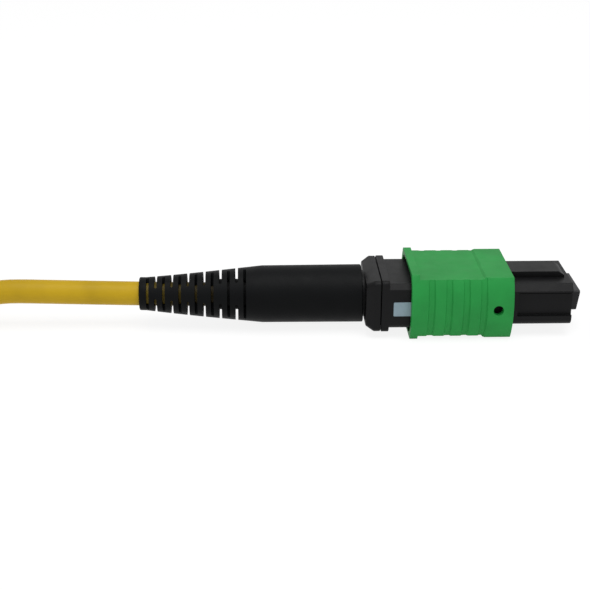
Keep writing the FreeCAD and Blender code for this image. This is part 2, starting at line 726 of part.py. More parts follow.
def make_cable_end():
    make_tube("cable_jacket_end", jacket_rear, jacket_front, S.jacket_bore, S.cable_radius)

    # Yarn lies inside the jacket, comes out of its cut end and folds over the barrel.
    yarn_inner = S.barrel_radius + S.snug_fit
    yarn_outer = yarn_inner + S.yarn_wall
    yarn_front = boot_front - S.boot_gap
    fold = barrel_rear - S.snug_fit
    jacket_inside = S.jacket_bore - S.snug_fit
    points = [
        (jacket_rear, S.yarn_bore),
        (fold, S.yarn_bore),
        (fold, yarn_inner),
        (yarn_front, yarn_inner),
        (yarn_front, yarn_outer),
        (fold - S.yarn_wall, yarn_outer),
        (fold - S.yarn_wall, jacket_inside),
        (jacket_rear, jacket_inside),
    ]
    make_turned("aramid_yarn", points)

    ring_inner = yarn_outer + S.snug_fit
    ring_outer = ring_inner + S.crimp_wall
    tail_inner = S.cable_radius + S.snug_fit
    tail_outer = tail_inner + S.tail_wall
    tail_front = jacket_front - S.tail_wall
    points = [
        (tail_front - S.crimp_tail, tail_inner),
        (tail_front, tail_inner),
        (jacket_front, ring_inner),
        (yarn_front, ring_inner),
        (yarn_front, ring_outer),
        (jacket_front - S.crimp_wall, ring_outer),
        (tail_front - S.crimp_wall, tail_outer),
        (tail_front - S.crimp_tail, tail_outer),
    ]
    make_turned("crimp_ring", points)

    shrink_front = tail_front - S.crimp_tail - S.snug_fit
    make_tube(
        "shrink_tube", boot_rear + S.shrink_start, shrink_front,
        tail_inner, tail_inner + S.shrink_wall,
    )
    return tail_front, tail_outer, ring_outer


# ---------------------------------------------------------------------------
# Bend boot: tapered, with two families of slots a quarter turn apart
# ---------------------------------------------------------------------------


def make_boot(tail_front, tail_outer, ring_outer):
    tip_front = boot_rear + S.boot_tip_length
    taper_front = tip_front + S.boot_taper_length
    cable_bore = S.cable_radius + S.slide_fit
    tail_bore = tail_outer + S.slide_fit
    ring_bore = ring_outer + S.snug_fit
    shrink_seat = boot_rear + S.shrink_start - S.slide_fit
    ring_seat = tail_front - S.tail_wall
    points = [
        (boot_rear, cable_bore),
        (shrink_seat, cable_bore),
        (shrink_seat, tail_bore),
        (ring_seat, tail_bore),
        (ring_seat + (ring_bore - tail_bore), ring_bore),
        (boot_front, ring_bore),
        (boot_front, S.boot_radius),
        (taper_front, S.boot_radius),
        (tip_front, S.boot_tip_radius),
        (boot_rear, S.boot_tip_radius),
    ]
    body = make_turned("boot", points)
    roll = FreeCAD.Rotation(FreeCAD.Vector(1, 0, 0), -float(S.boot_roll))
    body.Placement = FreeCAD.Placement(body.Placement.Base, roll)
    body.setExpression("Placement.Rotation.Angle", f"-{S.boot_roll} * 1 deg")

    families = [
        ("SideSlots", "XY_Plane", S.side_slot_start, S.side_slot_count, S.side_web, S.side_web_step),
        ("TopSlots", "XZ_Plane", S.top_slot_start, S.top_slot_count, S.top_web, S.top_web_step),
    ]
    clear = S.boot_radius * THROUGH
    for name, plane, start, count, web, web_step in families:
        slots = new_sketch(body, name, plane)
        for i in range(int(float(count))):
            rear = boot_rear + start + S.slot_pitch * i - S.slot_width / 2
            edge = web + web_step * i
            for side in (1, -1):
                draw_box(slots, rear, rear + S.slot_width, edge * side, clear * side)
        cut(body, slots, clear * 2, symmetric=True)


# ---------------------------------------------------------------------------
# Springs, fibres and the cable: shapes made directly, from the same sizes
# ---------------------------------------------------------------------------


def new_feature(label, shape, at_axis=True):
    """A sub-part whose shape is made here. Pieces of the connector are lifted to its axis."""
    feature = doc.addObject("Part::Feature", label)
    feature.Label = label
    feature.Shape = shape
    if at_axis:
        feature.setExpression("Placement.Base.z", str(axis_level))
    return feature


def coil(rear, front, half_width, half_height, wire, turns, steps):
    """A spring of square wire round the axis, on a racetrack of the given outside half sizes."""
    bend = half_height - wire / 2
    straight = half_width - half_height
    arc = math.pi * bend
    lap = 2 * arc + 4 * straight
    pitch = (front - rear - wire) / turns
    sections = []
    for half_turn in range(2 * turns):
        side = 1 if half_turn % 2 == 0 else -1
        last = half_turn == 2 * turns - 1
        for step in range(steps + (straight > 0 or last)):
            angle = math.pi * step / steps - math.pi / 2
            out = FreeCAD.Vector(0, side * math.cos(angle), side * math.sin(angle))
            done = half_turn / 2 + arc * step / steps / lap
            x = rear + wire / 2 + pitch * done
            centre = FreeCAD.Vector(x, side * straight, 0) + out * bend
            sections.append(wire_section(centre, out, wire / 2))
    return Part.makeLoft(sections, True, True)


def wire_section(centre, out, half):
    """The square outline of a spring's wire, in the plane through the axis."""
    along = FreeCAD.Vector(half, 0, 0)
    across = out * half
    corners = [
        centre - along - across,
        centre + along - across,
        centre + along + across,
        centre - along + across,
    ]
    return Part.makePolygon(corners + corners[:1])


def make_springs():
    rear, front = float(groove_rear), float(rib_rear)
    radius, wire = float(S.spring_radius), float(S.spring_wire)
    turns = int(float(S.spring_turns))
    for label, side in (("sleeve_spring_left", 1), ("sleeve_spring_right", -1)):
        spring = new_feature(label, coil(rear, front, radius, radius, wire, turns, 4))
        spring.setExpression("Placement.Base.y", str(S.spring_offset * side))
    new_feature(
        "main_spring",
        coil(
            float(neck_front), float(keeper_rear), float(S.coil_width) / 2,
            float(S.coil_height) / 2, float(S.coil_wire), int(float(S.coil_turns)), 4,
        ),
    )


def bundle_place(number):
    """Y and Z of a fibre in the cable's ring, in the order that lets all of them fan out flat."""
    count = int(float(S.fibre_count))
    angle = math.pi * (1 - (number - 0.5) / count)
    top = 1 if number % 2 else -1
    radius = float(S.bundle_radius)
    return radius * math.cos(angle), radius * math.sin(angle) * top


def eight_sided(x, y, z, radius):
    """A fibre's outline: at this size eight sides do for a circle."""
    corners = []
    for i in range(9):
        angle = math.pi * (i % 8 + 0.5) / 4
        across, rise = radius * math.cos(angle), radius * math.sin(angle)
        corners.append(FreeCAD.Vector(x, y + across, z + rise))
    return Part.makePolygon(corners)


def make_fibres():
    glass, coating = float(S.glass_radius), float(S.coating_radius)
    rear = float(jacket_rear + S.fibre_slack)
    fan_rear, fan_front = float(collar_front), float(keeper_rear)
    strip = float(ferrule_rear + S.pot_depth)
    front = float(tip)
    face_slope = math.tan(math.radians(float(S.face_angle)))
    face_middle = front - float(S.ferrule_height) / 2 * face_slope
    for number in fibre_numbers():
        y = float(fibre_place(number))
        bundle_y, bundle_z = bundle_place(number)
        sections = [
            eight_sided(rear, bundle_y, bundle_z, coating),
            eight_sided(fan_rear, bundle_y, bundle_z, coating),
            eight_sided(fan_front, y, 0, coating),
            eight_sided(strip - coating, y, 0, coating),
            eight_sided(strip, y, 0, glass),
            eight_sided(face_middle, y, 0, glass),
        ]
        shape = Part.makeLoft(sections, True, True)
        new_feature(f"fibre_{number:02d}", shape)


# ---------------------------------------------------------------------------
# Free cable: a lead that comes down to the surface and a tied hank that lies on it
# ---------------------------------------------------------------------------


def arc_tube(points, radius):
    """A round tube along straight runs, joined by arcs as large as the runs allow."""
    pieces, radii, length = [], [], 0
    start = points[0]
    for before, corner, after in zip(points, points[1:], points[2:]):
        to_corner, from_corner = corner - before, after - corner
        shorter = min(to_corner.Length, from_corner.Length)
        half_turn = to_corner.getAngle(from_corner) / 2
        trim = 0.45 * shorter
        to_corner.normalize()
        from_corner.normalize()
        arc_start, arc_end = corner - to_corner * trim, corner + from_corner * trim
        bend = trim / math.tan(half_turn)
        pieces.append(straight_tube(start, arc_start, radius))
        inward = (from_corner - to_corner).normalize()
        centre = corner + inward * (bend / math.cos(half_turn))
        turning_axis = to_corner.cross(from_corner)
        disc = Part.Face(Part.Wire([Part.makeCircle(radius, arc_start, to_corner)]))
        pieces.append(disc.revolve(centre, turning_axis, math.degrees(2 * half_turn)))
        radii.append(round(bend, 1))
        length += (arc_start - start).Length + bend * 2 * half_turn
        start = arc_end
    pieces.append(straight_tube(start, points[-1], radius))
    length += (points[-1] - start).Length
    return pieces[0].fuse(pieces[1:]), radii, length


def straight_tube(start, end, radius):
    run = end - start
    return Part.makeCylinder(radius, run.Length, start, run)


def stadium(radius, straight, level):
    """A racetrack outline on the level plane, its front bend centred on the hank's start."""
    x_front = -float(S.hank_start)
    x_rear = x_front - straight
    centre_y = float(S.hank_bend)
    right, left = centre_y - radius, centre_y + radius
    corners = [
        FreeCAD.Vector(x_front, right, level),
        FreeCAD.Vector(x_front + radius, centre_y, level),
        FreeCAD.Vector(x_front, left, level),
        FreeCAD.Vector(x_rear, left, level),
        FreeCAD.Vector(x_rear - radius, centre_y, level),
        FreeCAD.Vector(x_rear, right, level),
    ]
    edges = [
        Part.Arc(*corners[0:3]).toShape(),
        Part.LineSegment(corners[2], corners[3]).toShape(),
        Part.Arc(*corners[3:6]).toShape(),
        Part.LineSegment(corners[5], corners[0]).toShape(),
    ]
    return Part.Face(Part.Wire(edges))


def beyond_hank(bend, outer, height):
    """The space past the level line on which the lead touches the hank's front bend."""
    ahead = math.sqrt(outer**2 - bend**2)
    touch = FreeCAD.Vector(ahead - float(S.hank_start), 0, 0)
    along = FreeCAD.Vector(bend, ahead, 0)
    inward = FreeCAD.Vector(-ahead, bend, 0)
    corners = [touch - along, touch + along, touch + along + inward, touch - along + inward]
    block = Part.Face(Part.makePolygon(corners + corners[:1]))
    return block.extrude(FreeCAD.Vector(0, 0, height))


def make_cable():
    radius = float(S.cable_radius)
    thick = 2 * radius
    straight, bend = float(S.hank_straight), float(S.hank_bend)
    columns, layers = int(float(S.hank_columns)), int(float(S.hank_layers))
    wall, width = float(S.tie_wall), float(S.tie_width)
    inner_bend = bend - thick * (columns - 1)
    height = thick * layers

    # The hank rests on its ties, so it starts one tie's thickness above the surface.
    outline = stadium(bend + radius, straight, wall)
    hole = stadium(inner_bend - radius, straight, wall)
    hank = outline.cut(hole).extrude(FreeCAD.Vector(0, 0, height))
    new_feature("cable_hank", hank, at_axis=False)

    middle_x = -float(S.hank_start) - straight / 2
    stack = thick * columns
    for label, low_y in (
        ("cable_tie_right", -radius),
        ("cable_tie_left", 2 * bend + radius - stack),
    ):
        corner = FreeCAD.Vector(middle_x - width / 2, low_y - wall, 0)
        outside = Part.makeBox(width, stack + 2 * wall, height + 2 * wall, corner)
        corner = FreeCAD.Vector(middle_x - width / 2, low_y, wall)
        inside = Part.makeBox(width, stack, height, corner)
        new_feature(label, outside.cut(inside), at_axis=False)

    level = float(axis_level)
    laid = wall + radius
    route = [
        FreeCAD.Vector(float(jacket_rear), 0, level),
        FreeCAD.Vector(-float(S.fall_start), 0, level),
        FreeCAD.Vector(-float(S.fall_end), 0, laid),
        FreeCAD.Vector(-float(S.hank_start), 0, laid),
    ]
    tube, radii, length = arc_tube(route, radius)
    share = tube.Volume / (math.pi * radius**2 * length)
    print("cable arcs", radii, "volume over section times length:", round(share, 4))
    new_feature("cable_lead", tube.cut(beyond_hank(bend, bend + radius, level)), at_axis=False)


make_outer_sleeve()
make_inner_housing()
make_spring_push()
make_ferrule()
make_ferrule_boot()
make_pin_keeper()
make_boot(*make_cable_end())
make_springs()
make_fibres()
make_cable()

# ---------------------------------------------------------------------------
# Check every object, then write one file for each sub-part
# ---------------------------------------------------------------------------

doc.recompute()
for thing in doc.Objects:
    if "Invalid" in thing.State or "Error" in thing.State:
        raise RuntimeError(f"{thing.Name} failed: {thing.State}")

parts = [
    thing for thing in doc.Objects
    if thing.isDerivedFrom("PartDesign::Body") or thing.TypeId == "Part::Feature"
]
for part in parts:
    if part.Shape.isNull() or not part.Shape.isValid():
        raise RuntimeError(f"{part.Label} has no valid shape")

os.makedirs("parts", exist_ok=True)
for part in parts:
    part.Shape.exportStep(f"parts/{part.Label}.step")
    print(part.Label, len(part.Shape.Solids), round(part.Shape.Volume, 3))
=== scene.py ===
# %% [markdown]
# # A push-pull connector for twelve optical fibres
#
# This notebook dresses a fibre connector that is already built as a CAD model: a green sleeve
# that slides on a black housing, a slotted rubber boot, and a yellow cable. The CAD model gives
# the pieces, the overall sizes and the places. Blender adds what light shows: eased edges,
# moulded plastic, rubber, metal and lacquer. Each step below makes one piece or its finish.

# %% Load the frame
import math

import bmesh
import bpy
from mathutils import Matrix, Vector


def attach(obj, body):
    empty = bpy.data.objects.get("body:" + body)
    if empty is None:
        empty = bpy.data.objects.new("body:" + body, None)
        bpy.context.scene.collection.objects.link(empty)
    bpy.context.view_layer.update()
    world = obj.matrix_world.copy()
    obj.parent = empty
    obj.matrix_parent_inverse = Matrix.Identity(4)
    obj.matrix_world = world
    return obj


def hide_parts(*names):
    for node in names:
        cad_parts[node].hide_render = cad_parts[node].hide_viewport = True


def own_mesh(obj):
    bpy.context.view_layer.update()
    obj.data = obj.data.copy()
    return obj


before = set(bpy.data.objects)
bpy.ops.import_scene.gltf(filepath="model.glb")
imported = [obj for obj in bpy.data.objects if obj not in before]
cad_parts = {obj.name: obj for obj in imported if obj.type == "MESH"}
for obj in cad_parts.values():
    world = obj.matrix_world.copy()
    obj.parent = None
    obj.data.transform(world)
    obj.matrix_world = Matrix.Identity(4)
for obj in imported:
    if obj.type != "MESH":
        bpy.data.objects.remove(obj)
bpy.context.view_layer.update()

# %% [markdown]
# ## Camera
#
# A small product is usually shown through a long lens from a little above, so that its
# edges stay nearly parallel. The camera could be aimed with a Track To constraint, but a
# rotation matrix built from the viewing direction is exact and has no moving parts. The roll
# is a fraction of a degree, as from a camera held by hand.

# %% Aim the camera
STAND = Vector((-0.013277, -0.14782, 0.06452))
LOOK_AT = Vector((-0.00789, 0.0, 0.003982))
ROLL = math.radians(0.284)
FOCAL_LENGTH, SENSOR_WIDTH = 77.99, 36.0

backward = (STAND - LOOK_AT).normalized()
rightward = Vector((0, 0, 1)).cross(backward).normalized()
upward = backward.cross(rightward)
turn = Matrix((rightward, upward, backward)).transposed() @ Matrix.Rotation(ROLL, 3, "Z")

lens = bpy.data.cameras.new("product_camera")
lens.lens, lens.sensor_width = FOCAL_LENGTH, SENSOR_WIDTH
lens.clip_start, lens.clip_end = 0.01, 20.0
camera = bpy.data.objects.new("product_camera", lens)
camera.matrix_world = Matrix.Translation(STAND) @ turn.to_4x4()
bpy.context.collection.objects.link(camera)
bpy.context.scene.camera = camera
bpy.context.scene.view_settings.view_transform = "Standard"
print("camera is", round((STAND - LOOK_AT).length * 1000, 1), "mm from what it looks at")

# %% [markdown]
# ## Floor and light
#
# The connector lies on a white table in very soft light, with hardly a shadow. One way is
# a curved backdrop, but a wide plain floor is enough when the camera looks down at it. Its
# material shows itself nearly white to the camera and keeps a part of the shadow, so no lamp
# has to be so strong that it bleaches the connector.

# %% Helpers for colours and rays
def colour(red, green, blue):
    """A colour as a screen shows it, 0 to 255, turned into the linear values of a shader."""
    parts = [v / 255 for v in (red, green, blue)]
    linear = [v / 12.92 if v <= 0.04045 else ((v + 0.055) / 1.055) ** 2.4 for v in parts]
    return (*linear, 1.0)


def seen_directly(nodes, links):
    """A value that is 1 for the camera, and for what mirrors and glass show it."""
    path = nodes.new("ShaderNodeLightPath")
    total = path.outputs["Is Camera Ray"]
    for kind in ("Is Glossy Ray", "Is Transmission Ray"):
        either = nodes.new("ShaderNodeMath")
        either.operation = "MAXIMUM"
        links.new(total, either.inputs[0])
        links.new(path.outputs[kind], either.inputs[1])
        total = either.outputs[0]
    return total


print("a screen's 128 of 255 is", round(colour(128, 128, 128)[0], 3), "in a shader")

# %% Floor
PAPER_WHITE, GLOW, SHARE_OF_GLOW, HALF_FLOOR = 0.95, 1.08, 0.8, 4.0

table_top = bpy.data.materials.new("white_table")
table_top.use_nodes = True
nodes, links = table_top.node_tree.nodes, table_top.node_tree.links
nodes.clear()
paper = nodes.new("ShaderNodeBsdfDiffuse")
paper.inputs["Color"].default_value = (PAPER_WHITE, PAPER_WHITE, PAPER_WHITE, 1)
glow = nodes.new("ShaderNodeEmission")
glow.inputs["Strength"].default_value = GLOW
part_seen = nodes.new("ShaderNodeMath")
part_seen.operation = "MULTIPLY"
part_seen.inputs[1].default_value = SHARE_OF_GLOW
links.new(seen_directly(nodes, links), part_seen.inputs[0])
both = nodes.new("ShaderNodeMixShader")
links.new(part_seen.outputs[0], both.inputs[0])
links.new(paper.outputs[0], both.inputs[1])
links.new(glow.outputs[0], both.inputs[2])
out = nodes.new("ShaderNodeOutputMaterial")
links.new(both.outputs[0], out.inputs["Surface"])

bm = bmesh.new()
bmesh.ops.create_grid(bm, x_segments=1, y_segments=1, size=HALF_FLOOR)
mesh = bpy.data.meshes.new("table_top")
bm.to_mesh(mesh)
bm.free()
mesh.materials.append(table_top)
floor = bpy.data.objects.new("table_top", mesh)
bpy.context.collection.objects.link(floor)
print("floor is", round(floor.dimensions.x, 1), "m wide")

# %% Light
ROOM_LIGHT, BACKGROUND = 0.47, 1.0

sky = bpy.data.worlds.new("white_room")
bpy.context.scene.world = sky
sky.use_nodes = True
nodes, links = sky.node_tree.nodes, sky.node_tree.links
nodes.clear()
room = nodes.new("ShaderNodeBackground")
room.inputs["Strength"].default_value = ROOM_LIGHT
white = nodes.new("ShaderNodeBackground")
white.inputs["Strength"].default_value = BACKGROUND
mix = nodes.new("ShaderNodeMixShader")
links.new(seen_directly(nodes, links), mix.inputs[0])
links.new(room.outputs[0], mix.inputs[1])
links.new(white.outputs[0], mix.inputs[2])
out = nodes.new("ShaderNodeOutputWorld")
links.new(mix.outputs[0], out.inputs["Surface"])


def softbox(name, place, size, energy, tone=(1, 1, 1)):
    """A square lamp that faces the connector."""
    lamp = bpy.data.lights.new(name, "AREA")
    lamp.shape, lamp.size, lamp.energy, lamp.color = "SQUARE", size, energy, tone
    box = bpy.data.objects.new(name, lamp)
    box.location = place
    box.rotation_euler = (-Vector(place)).to_track_quat("-Z", "Y").to_euler()
    bpy.context.collection.objects.link(box)
    print(name, size, "m wide,", energy, "W")


softbox("overhead_softbox", (0.03, -0.14, 0.57), size=0.40, energy=2.0)
softbox("window", (-0.12, -0.48, 0.36), size=0.25, energy=0.2, tone=(0.82, 0.91, 1.0))

# %% [markdown]
# ## Finishes
#
# A moulded or drawn surface is never one flat colour. Its pigment drifts a little, its skin
# has a fine grain, and handling leaves patches that shine more or less. Image textures could
# show this, but noise textures read from Object coordinates need no files and keep their
# real scale, so every finish here is mixed from the same few kinds of noise.

# %% Helpers for finishes: nodes and patterns
def shader_of(finish):
    """The main shader of a finish, whose sockets the helpers below feed."""
    return finish.node_tree.nodes["Principled BSDF"]


def new_finish(name, roughness, metallic=0.0, mirror=None):
    """A plain finish. Mirror sets how strongly a plastic reflects, where 0.5 is usual."""
    finish = bpy.data.materials.new(name)
    finish.use_nodes = True
    shader = shader_of(finish)
    shader.inputs["Roughness"].default_value = roughness
    shader.inputs["Metallic"].default_value = metallic
    if mirror is not None:
        shader.inputs["Specular IOR Level"].default_value = mirror
    return finish


def add_node(finish, kind, **values):
    """A new node, with values for its sockets or, where no socket has the name, its settings."""
    node = finish.node_tree.nodes.new(kind)
    for name, value in values.items():
        socket = name.replace("_", " ").title()
        if socket in node.inputs:
            node.inputs[socket].default_value = value
        else:
            setattr(node, name, value)
    return node


def join(finish, start, end):
    """Links one node's output to another's input."""
    finish.node_tree.links.new(start, end)


def stretched_place(finish, stretch=(1, 1, 1)):
    """Object coordinates in millimetres, so that a pattern's scale is one over its size."""
    place = add_node(finish, "ShaderNodeTexCoord")
    mapping = add_node(finish, "ShaderNodeMapping")
    mapping.inputs["Scale"].default_value = [1000 * s for s in stretch]
    join(finish, place.outputs["Object"], mapping.inputs["Vector"])
    return mapping.outputs["Vector"]


def grain(finish, size, detail=3.0, stretch=(1, 1, 1)):
    """Noise whose patches are about size millimetres across."""
    noise = add_node(finish, "ShaderNodeTexNoise", scale=1 / size, detail=detail)
    join(finish, stretched_place(finish, stretch), noise.inputs["Vector"])
    return noise.outputs["Fac"]


# %% Helpers for finishes: colour, shine and bumps
def toned(base, factor):
    """A lighter or darker tone of a colour."""
    return (*[min(1.0, v * factor) for v in base[:3]], 1.0)


def tint(finish, pattern, dark, light, low=0.35, high=0.65):
    """Colours the surface between two tones, as the pattern goes from low to high."""
    ramp = add_node(finish, "ShaderNodeValToRGB")
    start, end = ramp.color_ramp.elements
    start.position, start.color = low, dark
    end.position, end.color = high, light
    join(finish, pattern, ramp.inputs[0])
    join(finish, ramp.outputs["Color"], shader_of(finish).inputs["Base Color"])


def gloss_patches(finish, pattern, smooth, rough):
    """Lets the roughness wander with the pattern."""
    spread = add_node(finish, "ShaderNodeMapRange")
    spread.inputs["To Min"].default_value = smooth
    spread.inputs["To Max"].default_value = rough
    join(finish, pattern, spread.inputs["Value"])
    join(finish, spread.outputs["Result"], shader_of(finish).inputs["Roughness"])


def relief(finish, pattern, depth, strength=1.0):
    """Adds bumps of about depth millimetres on top of any that are there already."""
    bump = add_node(finish, "ShaderNodeBump", strength=strength, distance=depth / 1000)
    normal = shader_of(finish).inputs["Normal"]
    if normal.links:
        join(finish, normal.links[0].from_socket, bump.inputs["Normal"])
    join(finish, pattern, bump.inputs["Height"])
    join(finish, bump.outputs["Normal"], normal)


print("a darker tone of white:", [round(v, 2) for v in toned((1, 1, 1), 0.8)])

# %% Moulded plastics and rubber
def moulded(name, base, roughness, mirror, skin=0.22, skin_depth=0.006, drift=0.08):
    """Injection moulded plastic: pigment drift, a spark-eroded skin, patches of shine."""
    finish = new_finish(name, roughness, mirror=mirror)
    pigment = grain(finish, size=3.5)
    tint(finish, pigment, dark=toned(base, 1 - drift), light=toned(base, 1 + drift))
    handling = grain(finish, size=1.3, detail=4.0)
    gloss_patches(finish, handling, smooth=roughness - 0.08, rough=roughness + 0.1)
    relief(finish, grain(finish, skin, detail=2.0), skin_depth, strength=0.6)
    flow = grain(finish, size=1.6, detail=2.0, stretch=(0.25, 1, 1))
    relief(finish, flow, skin_depth * 2, strength=0.35)
    return finish


green_plastic = moulded("green_plastic", colour(38, 147, 67), roughness=0.5, mirror=0.2)
black_plastic = moulded("black_plastic", colour(18, 18, 19), roughness=0.42, mirror=0.13)
black_rubber = moulded(
    "black_rubber", colour(12, 13, 14), roughness=0.5, mirror=0.08, skin=0.3,
    skin_depth=0.008, drift=0.1,
)
ferrule_resin = moulded(
    "ferrule_resin", colour(30, 30, 32), roughness=0.34, mirror=0.2, skin=0.12,
    skin_depth=0.003,
)
print("moulded finishes:", green_plastic.name, black_plastic.name, black_rubber.name)

# %% [markdown]
# ## Cable
#
# The cable is a 3 mm round jacket, yellow for single-mode fibre. It leaves the boot straight,
# comes down to the table and is put away as a hank: ten turns in two columns, held by two
# straps. A tube mesh could follow the path, but a NURBS curve is what a cable is, one smooth
# line, and its bevel gives the round section. Each turn has about twenty control points;
# where one turn ends, the next steps to its own column or layer while it goes round the bend.

# %% Path of the cable
LEAD = [
    (-15.4, 0, 4.2), (-17.0, 0, 4.2), (-22.0, 0, 4.2), (-42.0, 0, 4.82), (-45.0, 0, 4.9),
    (-55.0, 0, 2.1), (-64.0, 0, 2.1),
]
FRONT_BEND, REAR_BEND, MIDDLE = -64.0, -80.0, 12.0
OUTER, INNER, THICK = 12.0, 9.0, 3.0
# In degrees round a bend: between control points, and for a turn's step to the next one,
# where the first starts, how much sooner each later one does, and how long it takes.
FRONT_STEP, REAR_STEP = 12, 30
FIRST_CLIMB, EARLIER, CLIMB = 127, 13, 45
CUT_END = FRONT_BEND - 4.5
TURNS = [
    (OUTER, 0), (INNER, 0), (INNER, 1), (OUTER, 1), (OUTER, 2),
    (INNER, 2), (INNER, 3), (OUTER, 3), (OUTER, 4), (INNER, 4),
]


def round_bend(centre_x, radius, angle, step, level):
    """A control point so far outside a bend that the curve itself keeps the radius."""
    at = math.radians(angle)
    reach = radius * 3 / (2 + math.cos(math.radians(step)))
    return (centre_x + reach * math.sin(at), MIDDLE + reach * math.cos(at), level)


def stepped(number, angle):
    """Radius and level on the front bend, where each turn steps over sooner than the last."""
    radius, layer = TURNS[number]
    next_radius, next_layer = TURNS[number + 1]
    share = min(1.0, max(0.0, (angle - FIRST_CLIMB + EARLIER * number) / CLIMB))
    level = LEAD[-1][2] + THICK * (layer + (next_layer - layer) * share)
    return radius + (next_radius - radius) * share, level


route = list(LEAD)
for number, (radius, layer) in enumerate(TURNS):
    level = LEAD[-1][2] + THICK * layer
    for angle in range(180 + REAR_STEP // 2, 360, REAR_STEP):
        route.append(round_bend(REAR_BEND, radius, angle, REAR_STEP, level))
    if number + 1 == len(TURNS):
        break
    for angle in range(FRONT_STEP // 2, 180, FRONT_STEP):
        mixed, height = stepped(number, angle)
        route.append(round_bend(FRONT_BEND, mixed, angle, FRONT_STEP, height))
route.append((CUT_END, MIDDLE + TURNS[-1][0], LEAD[-1][2] + THICK * TURNS[-1][1]))
print("control points of the cable:", len(route))

# %% Jacket
# Painted shade: from the boot's tip forwards the jacket's colour darkens, in place of the shade
# inside the boot.
PAINTED_SHADE_REAR, PAINTED_SHADE_FRONT = -0.028, -0.018
UNSHADED, HALF_SHADED, FULL_SHADE = (1, 1, 1, 1), (0.3, 0.32, 0.34, 1), (0.07, 0.07, 0.06, 1)


def painted_boot_shade(finish):
    """Darkens the colour forwards from the boot's tip: painted shade on the cable inside the
    boot.
    """
    place = add_node(finish, "ShaderNodeTexCoord")
    along = add_node(finish, "ShaderNodeSeparateXYZ")
    join(finish, place.outputs["Object"], along.inputs[0])
    inside = add_node(
        finish, "ShaderNodeMapRange", from_min=PAINTED_SHADE_REAR, from_max=PAINTED_SHADE_FRONT
    )
    join(finish, along.outputs["X"], inside.inputs["Value"])
    shade_ramp = add_node(finish, "ShaderNodeValToRGB")
    start, end = shade_ramp.color_ramp.elements
    start.position, start.color = 0.07, UNSHADED
    end.position, end.color = 1.0, FULL_SHADE
    shade_ramp.color_ramp.elements.new(0.1).color = HALF_SHADED
    join(finish, inside.outputs["Result"], shade_ramp.inputs[0])
    both = add_node(finish, "ShaderNodeMixRGB", blend_type="MULTIPLY", fac=1.0)
    base_colour = shader_of(finish).inputs["Base Color"]
    join(finish, base_colour.links[0].from_socket, both.inputs["Color1"])
    join(finish, shade_ramp.outputs["Color"], both.inputs["Color2"])
    join(finish, both.outputs["Color"], base_colour)


def drawn_jacket(name, base, roughness, mirror):
    """Extruded plastic: faint waves, dust in its shine, and painted shade inside the boot."""
    finish = new_finish(name, roughness, mirror=mirror)
    tint(finish, grain(finish, size=5.0), dark=toned(base, 0.93), light=toned(base, 1.06))
    # painted shade on the part of the cable inside the boot
    painted_boot_shade(finish)
    dust = grain(finish, size=1.1, detail=4.0)
    gloss_patches(finish, dust, smooth=roughness - 0.07, rough=roughness + 0.12)
    relief(finish, grain(finish, size=0.18, detail=2.0), depth=0.004, strength=0.5)
    relief(finish, grain(finish, size=2.2, detail=1.0), depth=0.03, strength=0.4)
    return finish


yellow_jacket = drawn_jacket(
    "yellow_jacket", colour(198, 162, 28), roughness=0.44, mirror=0.17
)
print("jacket finish:", yellow_jacket.name)

# %% Cable
line = bpy.data.curves.new("fibre_cable", "CURVE")
line.dimensions = "3D"
line.bevel_depth = THICK / 2 / 1000
line.bevel_resolution = 7
line.use_fill_caps = True
line.resolution_u = 6
spline = line.splines.new("NURBS")
spline.points.add(len(route) - 1)
for point, place in zip(spline.points, route):
    point.co = (*[v / 1000 for v in place], 1)
spline.order_u, spline.use_endpoint_u = 4, True
line.materials.append(yellow_jacket)
cable = bpy.data.objects.new("fibre_cable", line)
bpy.context.collection.objects.link(cable)
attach(cable, "plug")
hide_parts("cable_lead", "cable_hank")
print("cable drawn with", len(spline.points), "points")

# %% [markdown]
# ## Making pieces in millimetres
#
# The pieces of a connector are a few millimetres long, and their eased edges a tenth of that.
# Modelling them in metres would put every number behind three zeros, so each mesh is shaped
# in millimetres and made a thousand times smaller when it is finished. Hard parts are made
# as a toolmaker makes them: a plain bar or barrel, edges eased first, then cut with others.

# %% Blocks and eased edges
AXIS = 4.2  # the connector's axis above the table
DOUBLE, SLIVER = 0.0005, 0.002  # how near two vertices are when they are merged


def block(x, y, z):
    """A box between the two ends given for each direction."""
    bm = bmesh.new()
    bmesh.ops.create_cube(bm, size=1)
    spans = [b - a for a, b in (x, y, z)]
    bmesh.ops.scale(bm, verts=bm.verts, vec=spans)
    bmesh.ops.translate(bm, verts=bm.verts, vec=[(a + b) / 2 for a, b in (x, y, z)])
    return bm


def ease(bm, width, steps=2, sharper_than=30, which=lambda edge: True):
    """Rounds the sharp edges of a mesh."""
    edges = [
        e for e in bm.edges
        if len(e.link_faces) == 2 and which(e)
        and math.degrees(e.calc_face_angle()) > sharper_than
    ]
    bmesh.ops.bevel(
        bm, geom=edges, affect="EDGES", offset=width, offset_type="OFFSET",
        segments=steps, profile=0.5, material=-1, clamp_overlap=True,
    )
    return bm


def along_x(edge):
    """Whether an edge runs along the connector."""
    return abs((edge.verts[0].co - edge.verts[1].co).normalized().x) > 0.99


def on_axis(x, y, z):
    """A block whose two heights are counted from the axis."""
    return block(x, y, (AXIS + z[0], AXIS + z[1]))


def one_each_side(x, near, far, z):
    """Two blocks, left and right, between these distances from the middle."""
    return [on_axis(x, sorted((near * side, far * side)), z) for side in (1, -1)]


print("a plain block has", len(block((0, 1), (0, 1), (0, 1)).faces), "faces")

# %% Bars, barrels and turned shapes
FACETS = 96


def bar(x, width, height, corner, rim=0.0, steps=6):
    """A bar along the connector's axis with rounded corners and, if asked, eased ends."""
    bm = on_axis(x, (-width / 2, width / 2), (-height / 2, height / 2))
    ease(bm, corner, steps, 30, along_x)
    if rim:
        ease(bm, rim, 2, 60)
    return bm


